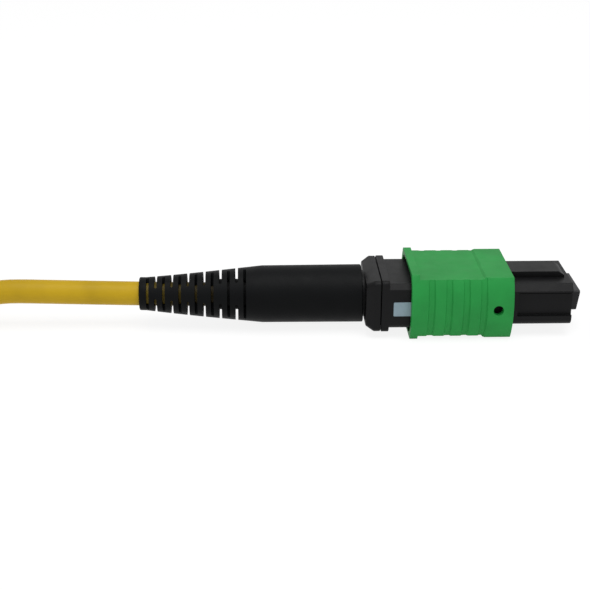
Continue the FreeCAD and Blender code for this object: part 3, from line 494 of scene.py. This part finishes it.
def barrel(x, radius, segments=FACETS):
    """A round bar along the connector's axis."""
    bm = bmesh.new()
    bmesh.ops.create_cone(
        bm, cap_ends=True, segments=segments, radius1=radius, radius2=radius,
        depth=x[1] - x[0],
    )
    bmesh.ops.rotate(bm, verts=bm.verts, matrix=Matrix.Rotation(math.pi / 2, 3, "Y"))
    bmesh.ops.translate(bm, verts=bm.verts, vec=((x[0] + x[1]) / 2, 0, AXIS))
    return bm


def turned(profile):
    """A closed profile of (x, radius) points, spun about the connector's axis."""
    bm = bmesh.new()
    verts = [bm.verts.new((x, 0, AXIS + radius)) for x, radius in profile]
    edges = [bm.edges.new((a, b)) for a, b in zip(verts, verts[1:] + verts[:1])]
    bmesh.ops.spin(
        bm, geom=verts + edges, cent=(0, 0, AXIS), axis=(1, 0, 0), angle=2 * math.pi,
        steps=FACETS, use_merge=True,
    )
    bmesh.ops.remove_doubles(bm, verts=bm.verts, dist=DOUBLE)
    bmesh.ops.recalc_face_normals(bm, faces=bm.faces)
    return bm


def slab(profile, y):
    """A closed profile of (x, z) points, drawn out across the connector."""
    bm = bmesh.new()
    face = bm.faces.new([bm.verts.new((x, y[0], z)) for x, z in profile])
    drawn = bmesh.ops.extrude_face_region(bm, geom=[face])["geom"]
    moved = [part for part in drawn if isinstance(part, bmesh.types.BMVert)]
    bmesh.ops.translate(bm, verts=moved, vec=(0, y[1] - y[0], 0))
    bmesh.ops.recalc_face_normals(bm, faces=bm.faces)
    return bm


print("a sample barrel has", len(barrel((0, 1), 1).faces), "faces")

# %% Cutting, joining and finishing
SHARP = math.radians(32)
SLACK = 0.01
RANKS = [(1e6, 1e3, 1), (1, 1e6, 1e3), (1e3, 1, 1e6), (-1e6, 1e3, 1), (1, -1e6, 1e3)]


def solid(name, bm):
    """An object of its own for a shape, whose bmesh is freed."""
    mesh = bpy.data.meshes.new(name)
    bm.to_mesh(mesh)
    bm.free()
    thing = bpy.data.objects.new(name, mesh)
    bpy.context.collection.objects.link(thing)
    return thing


def in_order(bm, rank=RANKS[0]):
    """Sorts a shape by place, because bevels and booleans leave another order in each run."""
    rank = Vector(rank)
    bm.verts.sort(key=lambda vert: vert.co.dot(rank))
    bm.edges.sort(key=lambda edge: (edge.verts[0].co + edge.verts[1].co).dot(rank))
    bm.faces.sort(key=lambda face: face.calc_center_median().dot(rank))


def boolean(shapes, how, rank):
    """The first shape with every other one cut away or added, one after the other."""
    for bm in shapes:
        in_order(bm, rank)
    whole, *tools = [solid("work", bm.copy()) for bm in shapes]
    for tool in tools:
        step = whole.modifiers.new("step", "BOOLEAN")
        step.operation, step.solver, step.object = how, "EXACT", tool
    ready = whole.evaluated_get(bpy.context.evaluated_depsgraph_get())
    bm = bmesh.new()
    bm.from_mesh(ready.to_mesh())
    ready.to_mesh_clear()
    for thing in (whole, *tools):
        old = thing.data
        bpy.data.objects.remove(thing)
        bpy.data.meshes.remove(old)
    in_order(bm)
    bmesh.ops.remove_doubles(bm, verts=bm.verts, dist=SLIVER)
    bmesh.ops.dissolve_degenerate(bm, edges=bm.edges, dist=SLIVER)
    return bm


def combined(base, others, how):
    """A boolean that is made again, in another order, when it has lost a part."""
    own, rest = base.calc_volume(), sum(other.calc_volume() for other in others)
    least, most = (own - rest, own) if how == "DIFFERENCE" else (own, own + rest)
    for rank in RANKS:
        result = boolean((base, *others), how, rank)
        if least - SLACK * own < result.calc_volume() < most + SLACK * own:
            break
        print("a boolean lost a part in order", rank)
    for used in (base, *others):
        used.free()
    return result


def cut(base, *tools):
    """Base less the tools."""
    return combined(base, tools, "DIFFERENCE")


def joined(base, *others):
    """Base and the others as one shape."""
    return combined(base, others, "UNION")


def finished(name, bm, finish, body, nodes=()):
    """Makes a shape in millimetres a piece in metres, at home on one body of the frame."""
    bmesh.ops.remove_doubles(bm, verts=bm.verts, dist=DOUBLE)
    bmesh.ops.scale(bm, verts=bm.verts, vec=(0.001, 0.001, 0.001))
    piece = solid(name, bm)
    piece.data.materials.append(finish)
    piece.data.shade_smooth()
    piece.data.set_sharp_from_angle(angle=SHARP)
    even = piece.modifiers.new("even_shading", "WEIGHTED_NORMAL")
    even.keep_sharp = True
    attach(piece, body)
    if nodes:
        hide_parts(*nodes)
    print(name, len(piece.data.polygons), "faces")
    return piece


# %% [markdown]
# ## Outer sleeve
#
# The green sleeve is what fingers pull to unlock the connector. It is a short barrel whose
# round sides are flattened a little, with its top and underside cut flat. It has a raised rim
# at the rear to pull on, a raised band in front, and four grip grooves in each side. Sculpting
# or a lattice could bend a box to this, but a barrel cut by a few planes is exact. A recess
# leads round its rear opening, and the top stays bare.

# %% Outer sleeve, outside
# Places along the connector, then heights above the axis, 1 on top and -1 on the underside.
SLEEVE_REAR, RIM_END, WAIST_END, BAND_START, SLEEVE_FRONT = 6.05, 7.01, 14.82, 15.08, 18.45
BEHIND, PAST_SLEEVE = 5, 19
RIM, WAIST, BAND, ABOVE_SLEEVE = {1: 4.24, -1: 4.2}, 3.69, {1: 3.89, -1: 4.02}, 5
SLEEVE_ROUND, FLATTER = 6.22, 0.98


def flattened(bm, fade=0.0):
    """Flattens round sides a little; a cutter with some fade cuts less deep higher up."""
    for vert in bm.verts:
        z = vert.co.z - AXIS
        radius = math.hypot(vert.co.y, z) + FLATTER
        side = math.sqrt(radius * radius - z * z) - FLATTER + fade * max(0, z) ** 2
        vert.co.y = math.copysign(side, vert.co.y)
    return bm


def trimmed(bm, point, normal):
    """What lies behind a plane, closed again."""
    bmesh.ops.bisect_plane(
        bm, geom=[*bm.verts, *bm.edges, *bm.faces], plane_co=point, plane_no=normal,
        clear_outer=True,
    )
    bmesh.ops.holes_fill(bm, edges=bm.edges, sides=0)
    return bm


sleeve = flattened(barrel((SLEEVE_REAR, SLEEVE_FRONT), SLEEVE_ROUND, segments=100))
for up in (1, -1):
    trimmed(sleeve, (0, 0, AXIS + RIM[up] * up), (0, 0, up))
for up in (1, -1):
    step = [
        (RIM_END, WAIST), (WAIST_END, WAIST), (BAND_START, BAND[up]),
        (PAST_SLEEVE, BAND[up]), (PAST_SLEEVE, ABOVE_SLEEVE), (RIM_END, ABOVE_SLEEVE),
    ]
    sleeve = cut(sleeve, slab([(x, AXIS + z * up) for x, z in step], (-8, 8)))
ease(sleeve, 0.22, 4, 30, along_x)
ease(sleeve, 0.08, 3, 35, lambda edge: not along_x(edge))
print("sleeve blank has", len(sleeve.faces), "faces")

# %% Outer sleeve, grips
FIRST_GRIP, GRIP_PITCH, GRIP_DEPTH, GRIP_FADE = 8.5, 2.12, 0.19, 0.006


def grip(centre):
    """Cutter for a shallow groove round the sleeve, which fades out upwards."""
    floor = SLEEVE_ROUND - GRIP_DEPTH
    edge = SLEEVE_ROUND + 0.05
    return flattened(turned([
        (centre - 0.50, edge), (centre - 0.34, floor + 0.03), (centre - 0.1, floor),
        (centre + 0.26, floor), (centre + 0.47, edge), (centre, edge + 0.5),
    ]), fade=GRIP_FADE)


sleeve = cut(sleeve, *[grip(FIRST_GRIP + GRIP_PITCH * i) for i in range(4)])
print("gripped sleeve has", len(sleeve.faces), "faces")

# %% Outer sleeve, openings
def across(x, radius):
    """A round bar from side to side through the connector."""
    bm = bmesh.new()
    bmesh.ops.create_cone(
        bm, cap_ends=True, segments=48, radius1=radius, radius2=radius, depth=16
    )
    bmesh.ops.rotate(bm, verts=bm.verts, matrix=Matrix.Rotation(math.pi / 2, 3, "X"))
    bmesh.ops.translate(bm, verts=bm.verts, vec=(x, 0, AXIS))
    return bm


bore = bar((BEHIND, PAST_SLEEVE), width=10.0, height=6.0, corner=1.1)
rear_recess = bar((BEHIND, 6.65), width=10.4, height=7.6, corner=2.2)
key_slot = on_axis((14.68, PAST_SLEEVE), (-1.97, 1.97), (0, 3.5))
spring_room = on_axis((9.1, 15.2), (-5.65, 5.65), (-0.7, 0.7))
hook_room = on_axis((16.3, PAST_SLEEVE), (-5.45, 5.45), (-1.7, 1.7))
pinhole = across(16.6, radius=0.63)
sleeve = cut(sleeve, bore, rear_recess, key_slot, spring_room, hook_room, pinhole)
spring_stops = one_each_side((15.2, 16.1), 4.3, 5.7, (-0.6, 0.6))
sleeve = joined(sleeve, *spring_stops)
finished("green_sleeve", sleeve, green_plastic, "sleeve", ["outer_sleeve"])

# %% [markdown]
# ## Inner housing
#
# The black housing is the frame that everything sits in: a flange at the rear, a body that
# the sleeve slides on, and a nose with the key that tells which side is up. The upper corners
# of body and nose slope, and the lower ones are round. It is built from three bars and a key,
# joined, and then hollowed. Extruding one cube in steps would give the same steps, but joined
# bars keep each corner's own form.

# %% Inner housing
CRISP = 0.06


def sloped_bar(x, width, height, slope, corner, rim):
    """A bar along the axis whose upper corners slope and whose lower ones are round."""
    def upper(edge):
        return along_x(edge) and edge.verts[0].co.z > AXIS

    bm = on_axis(x, (-width / 2, width / 2), (-height / 2, height / 2))
    ease(bm, corner, 5, 30, lambda edge: along_x(edge) and not upper(edge))
    ease(bm, slope, 1, 30, upper)
    ease(bm, CRISP, 2, 30, upper)
    ease(bm, rim, 2, 60)
    return bm


flange = bar((2.50, 3.45), width=9.8, height=6.7, corner=0.6, rim=0.09)
body = sloped_bar((3.0, 17.20), width=9.8, height=5.8, slope=0.62, corner=0.8, rim=0.08)
nose = sloped_bar((16.0, 26.0), width=9.4, height=5.3, slope=0.82, corner=0.8, rim=0.12)
key_side = [(14.78, 2), (25.38, 2), (25.38, 2.9), (24.63, 3.4), (14.78, 3.4)]
key = slab([(x, AXIS + z) for x, z in key_side], (-1.87, 1.87))
ease(key, CRISP, 2, 40, lambda edge: max(v.co.z for v in edge.verts) > AXIS + 2.85)
housing = joined(flange, body, nose, key)
print("housing blank has", len(housing.faces), "faces")

# %% Inner housing, openings
RECESS = (19.25, 26.5)

recesses = one_each_side(RECESS, 4.15, 5.2, (-1.4, 1.66))
for recess in recesses:
    ease(recess, CRISP, 2)
undercuts = one_each_side(RECESS, 3.9, 4.3, (1.36, 1.6))
spring_grooves = one_each_side((9.2, 16.1), 4.2, 5.6, (-0.7, 0.7))
rear_hollow = bar((2.0, 17.2), width=7.8, height=4.4, corner=0.8)
ferrule_seat = bar((17.0, 21.1), width=7.4, height=3.3, corner=0.35)
mouth = bar((21.1, 27.0), width=6.6, height=2.7, corner=0.35)
flare = bar((25.75, 27.0), width=7.1, height=3.2, corner=0.5)
ease(flare, 0.24, 1, 60)
latch_windows = on_axis((4.8, 6.4), (-6, 6), (-0.66, 0.66))
housing = cut(
    housing, rear_hollow, ferrule_seat, mouth, flare, latch_windows, *spring_grooves,
    *recesses, *undercuts,
)
finished("black_housing", housing, black_plastic, "plug", ["inner_housing"])

# %% [markdown]
# ## Spring push
#
# Behind the housing sits the spring push: a collar with sloping rear edges, a neck with two
# latches that snap into the housing, and a barrel that the cable's yarn is crimped on. Only
# the collar shows. One wide bevel could give its slopes, but it is as wide as the bar's round
# corners and would fold over there, so the collar is a row of bridged rings.

# %% Spring push, collar
COLLAR_WIDTH, COLLAR_HEIGHT, COLLAR_CORNER, CORNER_STEPS = 9.8, 6.6, 0.6, 4
COLLAR_RINGS = [
    (0.65, 0.59), (0.70, 0.51), (1.56, 0.03), (1.63, 0.0), (2.36, 0.0), (2.42, 0.06),
]


def collar_ring(bm, x, inset):
    """Adds the collar's round-cornered outline, drawn in by an inset, as edges alone."""
    flat = COLLAR_WIDTH / 2 - inset - COLLAR_CORNER
    tall = COLLAR_HEIGHT / 2 - inset - COLLAR_CORNER
    ring = []
    for quarter, (side, up) in enumerate(((1, 1), (-1, 1), (-1, -1), (1, -1))):
        for step in range(CORNER_STEPS + 1):
            angle = (quarter + step / CORNER_STEPS) * math.pi / 2
            y = side * flat + COLLAR_CORNER * math.cos(angle)
            z = AXIS + up * tall + COLLAR_CORNER * math.sin(angle)
            ring.append(bm.verts.new((x, y, z)))
    for a, b in zip(ring, ring[1:] + ring[:1]):
        bm.edges.new((a, b))


collar = bmesh.new()
for x, inset in COLLAR_RINGS:
    collar_ring(collar, x, inset)
bmesh.ops.bridge_loops(collar, edges=collar.edges)
bmesh.ops.holes_fill(collar, edges=collar.edges, sides=0)
bmesh.ops.recalc_face_normals(collar, faces=collar.faces)
print("collar has", len(collar.faces), "faces")

# %% Spring push, neck and latches
def lying(profile, z):
    """A closed profile of (x, y) points, drawn out upwards between two heights."""
    bm = slab(profile, z)
    bmesh.ops.rotate(bm, verts=bm.verts, matrix=Matrix.Rotation(math.pi / 2, 3, "X"))
    bmesh.ops.translate(bm, verts=bm.verts, vec=(0, 0, AXIS))
    return bm


neck = bar((2.1, 8.6), width=7.6, height=4.2, corner=0.7, rim=0.06)
crimp_barrel = barrel((-5.45, 0.9), 2.3)
shoulder = barrel((0.33, 1.3), 2.9)
latch_side = [(4.9, 3.2), (4.9, 4.55), (6.3, 3.8), (6.3, 3.2)]
latches = [lying([(x, y * side) for x, y in latch_side], (-0.56, 0.56)) for side in (1, -1)]
push = joined(collar, neck, crimp_barrel, shoulder, *latches)
fibre_way = barrel((-6, 9), 1.4)
spring_seat = on_axis((3.0, 9), (-2.3, 2.3), (-1.2, 1.2))
push = cut(push, fibre_way, spring_seat)
finished("black_spring_push", push, black_plastic, "plug", ["spring_push"])

# %% [markdown]
# ## Bend boot
#
# The rubber boot keeps the cable from kinking. Two families of slots, a quarter turn apart,
# let its taper flex like a spring. The whole pattern is rolled a little about the cable, as
# a soft boot is when it is pushed on. It could be built ring by ring, but the real one is
# a turned shape whose mould has thin blades in it, so here it is a spun profile cut by blades
# with rounded tips. Being soft, it doesn't sit quite true: its thin end rises with the cable,
# and its front end slants, a little longer below.

# %% Bend boot, turned
BOOT_TIP, SHRINK_SEAT, TAPER_START, BOOT_FRONT = -27.2, -17.75, -12.0, 0.30
CABLE_BORE, SHRINK_BORE, RING_BORE = 1.6, 2.15, 2.85

inside = [
    (BOOT_TIP, CABLE_BORE), (SHRINK_SEAT, CABLE_BORE), (SHRINK_SEAT, SHRINK_BORE),
    (-7.2, SHRINK_BORE), (-6.5, RING_BORE), (BOOT_FRONT, RING_BORE),
]
outside = [
    (BOOT_FRONT, 3.48), (0.26, 3.56), (0.18, 3.60), (TAPER_START, 3.55), (-26.4, 2.06),
    (-27.06, 2.06), (-27.16, 2.02), (BOOT_TIP, 1.92),
]
boot = turned(inside + outside)
print("boot blank has", len(boot.faces), "faces")

# %% Bend boot, slots
SLOT_PITCH, HALF_SLOT, SLOT_ROUND, PATTERN_ROLL = 2, 0.17, 0.16, 22
PAST_BOOT, HALF_BLADE = 4.2, 4.5


def blade(x, web, side, upright):
    """Cutter for one slot, flat and round at its tip, which leaves half a web of rubber."""
    bm = block((x - HALF_SLOT, x + HALF_SLOT), (web, PAST_BOOT), (-HALF_BLADE, HALF_BLADE))
    tip = [e for e in bm.edges if all(abs(v.co.y - web) < 0.001 for v in e.verts)]
    long_edges = [e for e in tip if abs(e.verts[0].co.z - e.verts[1].co.z) > 1]
    bmesh.ops.bevel(
        bm, geom=long_edges, affect="EDGES", offset=SLOT_ROUND, offset_type="OFFSET",
        segments=5, profile=0.5, material=-1, clamp_overlap=True,
    )
    angle = (90 if upright else 0) + (180 if side < 0 else 0) - PATTERN_ROLL
    bmesh.ops.rotate(bm, verts=bm.verts, matrix=Matrix.Rotation(math.radians(angle), 3, "X"))
    bmesh.ops.translate(bm, verts=bm.verts, vec=(0, 0, AXIS))
    return bm


def family(first, count, web, wider, upright):
    """Pairs of slots whose webs get wider towards the connector."""
    return [
        blade(first + SLOT_PITCH * i, web + wider * i, side, upright)
        for i in range(count) for side in (1, -1)
    ]


level_slots = family(-26.15, 7, 0.85, 0.083, upright=False)
upright_slots = family(-25.16, 6, 0.68, 0.136, upright=True)
boot = cut(boot, *level_slots, *upright_slots)
print("slots:", len(level_slots) + len(upright_slots))

# %% Bend boot, its soft fit
RISE, SLANT, SLANT_FROM = 0.0018, 0.065, 0.1

for vert in boot.verts:
    vert.co.z += RISE * max(0.0, SHRINK_SEAT - vert.co.x) ** 2
    if vert.co.x > SLANT_FROM:
        vert.co.x += SLANT * max(0.0, AXIS - vert.co.z)
finished("rubber_boot", boot, black_rubber, "plug", ["boot"])

# %% [markdown]
# ## Ferrule
#
# The ferrule is the part that matters: a small precise block, moulded from a resin full of
# glass, that holds twelve fibres in a row between two holes for guide pins. Its end face is
# polished at eight degrees, so a bisecting plane cuts it. The holes are round bars taken away.

# %% Ferrule
FERRULE_TIP, POLISH = 27.2, math.radians(8)
TIP_WIDTH, TIP_HEIGHT = 6.4, 2.5
GUIDE_RADIUS, GUIDE_OFFSET = 0.35, 2.3
FIBRES, FIBRE_PITCH, FIBRE_RADIUS = 12, 0.25, 0.085


def drilled(x, y, radius, segments):
    """Cutter for a round hole along the connector, at y beside its axis."""
    bm = barrel(x, radius, segments)
    bmesh.ops.translate(bm, verts=bm.verts, vec=(0, y, 0))
    return bm


tip = bar((20.0, FERRULE_TIP), TIP_WIDTH, TIP_HEIGHT, corner=0.25, steps=4)
face_normal = (math.cos(POLISH), 0, -math.sin(POLISH))
trimmed(tip, (FERRULE_TIP, 0, AXIS + TIP_HEIGHT / 2), face_normal)
ease(tip, 0.05, 2, 60)
shoulder = bar((19.2, 21.1), width=7.2, height=3.1, corner=0.25, rim=0.08, steps=4)
pocket = on_axis((19.0, 23.2), (-1.8, 1.8), (-0.8, 0.8))
guides = [drilled((19.0, 28), GUIDE_OFFSET * side, GUIDE_RADIUS, 32) for side in (1, -1)]
bores = [
    drilled((23.0, 28), FIBRE_PITCH * (n - (FIBRES - 1) / 2), FIBRE_RADIUS, 12)
    for n in range(FIBRES)
]
ferrule = cut(joined(shoulder, tip), pocket, *guides, *bores)
finished("resin_ferrule", ferrule, ferrule_resin, "ferrule", ["ferrule"])

# %% [markdown]
# ## Springs
#
# One oval spring pushes the ferrule forward, and two small ones push the sleeve back to
# where it locks. A curve could follow the helix, but spinning the wire's round section with
# a small step forward gives the coil in one call. The oval one is a round coil pulled apart
# at its middle.

# %% Steel
def drawn_steel(name, base, roughness):
    """Bright wire: metal with fine drawing lines and small dull spots."""
    finish = new_finish(name, roughness, metallic=1.0)
    tint(finish, grain(finish, size=0.9), dark=toned(base, 0.86), light=toned(base, 1.05))
    spots = grain(finish, size=0.35, detail=4.0)
    gloss_patches(finish, spots, smooth=roughness - 0.08, rough=roughness + 0.12)
    lines = grain(finish, size=0.05, detail=2.0, stretch=(4, 1, 1))
    relief(finish, lines, depth=0.002, strength=0.5)
    return finish


spring_steel = drawn_steel("spring_steel", colour(176, 178, 182), 0.3)
print("steel finish:", spring_steel.name)

# %% Springs
def coil(x, y, half_width, half_height, wire, turns, steps=28):
    """A spring of round wire about an axis through y, on a racetrack of these half sizes."""
    bm = bmesh.new()
    around = half_height - wire / 2
    bmesh.ops.create_circle(bm, cap_ends=False, segments=12, radius=wire / 2)
    bmesh.ops.rotate(bm, verts=bm.verts, matrix=Matrix.Rotation(math.pi / 2, 3, "X"))
    bmesh.ops.translate(bm, verts=bm.verts, vec=(x[0] + wire / 2, 0, around))
    lead = (x[1] - x[0] - wire) / (turns * steps)
    bmesh.ops.spin(
        bm, geom=[*bm.verts, *bm.edges], cent=(0, 0, 0), axis=(1, 0, 0), dvec=(lead, 0, 0),
        angle=2 * math.pi * turns, steps=turns * steps,
    )
    bmesh.ops.holes_fill(bm, edges=bm.edges, sides=0)
    bmesh.ops.recalc_face_normals(bm, faces=bm.faces)
    pull = half_width - half_height
    for vert in bm.verts:
        y_now = vert.co.y
        share = math.copysign(1, y_now) if abs(y_now) > wire else y_now / wire
        vert.co.y += pull * share
    bmesh.ops.translate(bm, verts=bm.verts, vec=(0, y, AXIS))
    return bm


oval_spring = finished(
    "oval_spring", coil((8.6, 15.9), 0, 3.5, 1.95, 0.45, 5), spring_steel, "plug",
    ["main_spring"],
)
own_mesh(oval_spring)
for label, y in (("left", 4.95), ("right", -4.95)):
    small = finished(
        f"return_spring_{label}", coil((9.2, 15.2), y, 0.6, 0.6, 0.2, 7, 20), spring_steel,
        "plug", [f"sleeve_spring_{label}"],
    )
    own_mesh(small)

# %% [markdown]
# ## Fibre-side mark
#
# A white printed patch on one narrow side of the housing shows where fibre 1 is. Ink has
# almost no thickness, and a texture could paint it, but a thin plate with rounded corners
# gives it a clean edge from any distance, and lets the sleeve slide over it.

# %% Fibre-side mark
def printed_ink(name, base):
    """Matt ink, a little darker where the print is thin."""
    finish = new_finish(name, 0.5)
    thickness = grain(finish, size=1.6, detail=4.0)
    tint(finish, thickness, toned(base, 0.9), toned(base, 1.05), low=0.3, high=0.6)
    relief(finish, grain(finish, size=0.15, detail=2.0), depth=0.003, strength=0.5)
    return finish


white_ink = printed_ink("white_ink", colour(142, 163, 174))
patch = on_axis((3.97, 7.9), (-4.94, -4.88), (-1.13, 0.68))
ease(patch, 0.1, 3, 30, lambda edge: abs(edge.verts[0].co.y - edge.verts[1].co.y) > 0.01)
finished("white_side_mark", patch, white_ink, "plug")

# %% [markdown]
# ## Straps of the hank
#
# Two strips of hook-and-loop tape hold the hank. Tape is flat and bends round the stack with
# soft corners, and its end lies over itself. A cloth simulation would crumple it, so the
# loop is a block with round corners, hollowed, with the loose end as a second layer.

# %% Tape
def looped_tape(name, base):
    """Hook-and-loop tape: a nap of tiny loops over a woven ground."""
    finish = new_finish(name, 0.85)
    nap = add_node(finish, "ShaderNodeTexVoronoi", scale=2.6)
    join(finish, stretched_place(finish), nap.inputs["Vector"])
    height = nap.outputs["Distance"]
    tint(finish, height, toned(base, 0.7), toned(base, 1.35), low=0.1, high=0.6)
    relief(finish, height, depth=0.12, strength=0.7)
    relief(finish, grain(finish, size=0.12), depth=0.03, strength=0.6)
    return finish


black_tape = looped_tape("black_tape", colour(42, 42, 44))
print("tape finish:", black_tape.name)

# %% Straps
STACK_TOP, TAPE = 15.6, 0.6
STACKS = {"right": (-1.5, 4.5), "left": (19.5, 25.5)}
LOOSE_ENDS = {"right": (4.9, 5.6), "left": (18.4, 19.1)}

for label, (low, high) in STACKS.items():
    loop = block((-75, -69), (low - TAPE, high + TAPE), (0, STACK_TOP + TAPE))
    ease(loop, 1.5, 6, 30, along_x)
    ease(loop, 0.12, 2, 60)
    hollow = block((-76, -68), (low, high), (TAPE, STACK_TOP))
    ease(hollow, 1.0, 5, 30, along_x)
    end = block((-74.9, -69.1), LOOSE_ENDS[label], (4.5, 13.0))
    ease(end, 0.14, 2, 60)
    strap = finished(
        f"tape_strap_{label}", joined(cut(loop, hollow), end), black_tape, "plug",
        [f"cable_tie_{label}"],
    )

# %% [markdown]
# ## Parts that stay as the CAD model made them
#
# The small parts inside need no new shape: the strain relief in the ferrule, the pin keeper,
# the crimp ring, the shrink tube, the yarn, the jacket's end and the twelve fibres. Some show
# through the boot's slots or at the ferrule's tip, and the rest when the connector is taken
# apart, so each gets its own finish. Rounding their edges too would add what nobody sees.

# %% Finishes of the inner parts
def bundled_yarn(name, base):
    """Aramid strands, all lying along the cable."""
    finish = new_finish(name, 0.6)
    strands = grain(finish, size=0.08, stretch=(0.06, 1, 1))
    tint(finish, strands, dark=toned(base, 0.72), light=toned(base, 1.1))
    relief(finish, strands, depth=0.03, strength=0.8)
    return finish


def fibre_coat(name, base):
    """Thin coloured lacquer over glass, a little streaky along the fibre."""
    finish = new_finish(name, 0.28)
    streaks = grain(finish, size=0.2, stretch=(0.2, 1, 1))
    tint(finish, streaks, dark=toned(base, 0.82), light=toned(base, 1.12))
    relief(finish, grain(finish, size=0.05, detail=2.0), depth=0.001, strength=0.4)
    return finish


inner_finishes = {
    "ferrule_boot": black_rubber,
    "pin_keeper": drawn_steel("keeper_metal", colour(168, 166, 160), 0.34),
    "crimp_ring": drawn_steel("crimp_metal", colour(196, 186, 160), 0.3),
    "shrink_tube": moulded(
        "shrink_sleeve", colour(16, 16, 17), roughness=0.5, mirror=0.08, skin=0.5
    ),
    "aramid_yarn": bundled_yarn("aramid", colour(214, 190, 96)),
    "cable_jacket_end": yellow_jacket,
}
COATS = {
    "blue": (30, 70, 170), "orange": (225, 110, 30), "green": (40, 140, 60),
    "brown": (110, 66, 36), "slate": (110, 116, 122), "white": (226, 226, 222),
    "red": (190, 32, 36), "black": (28, 28, 30), "yellow": (226, 200, 40),
    "violet": (110, 60, 140), "rose": (224, 130, 150), "aqua": (70, 180, 190),
}
for number, (name, tone) in enumerate(COATS.items(), 1):
    inner_finishes[f"fibre_{number:02d}"] = fibre_coat(f"fibre_{name}", colour(*tone))
for name, finish in inner_finishes.items():
    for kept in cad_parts[name].material_slots:
        kept.material = finish
print("kept parts with new finishes:", len(inner_finishes))
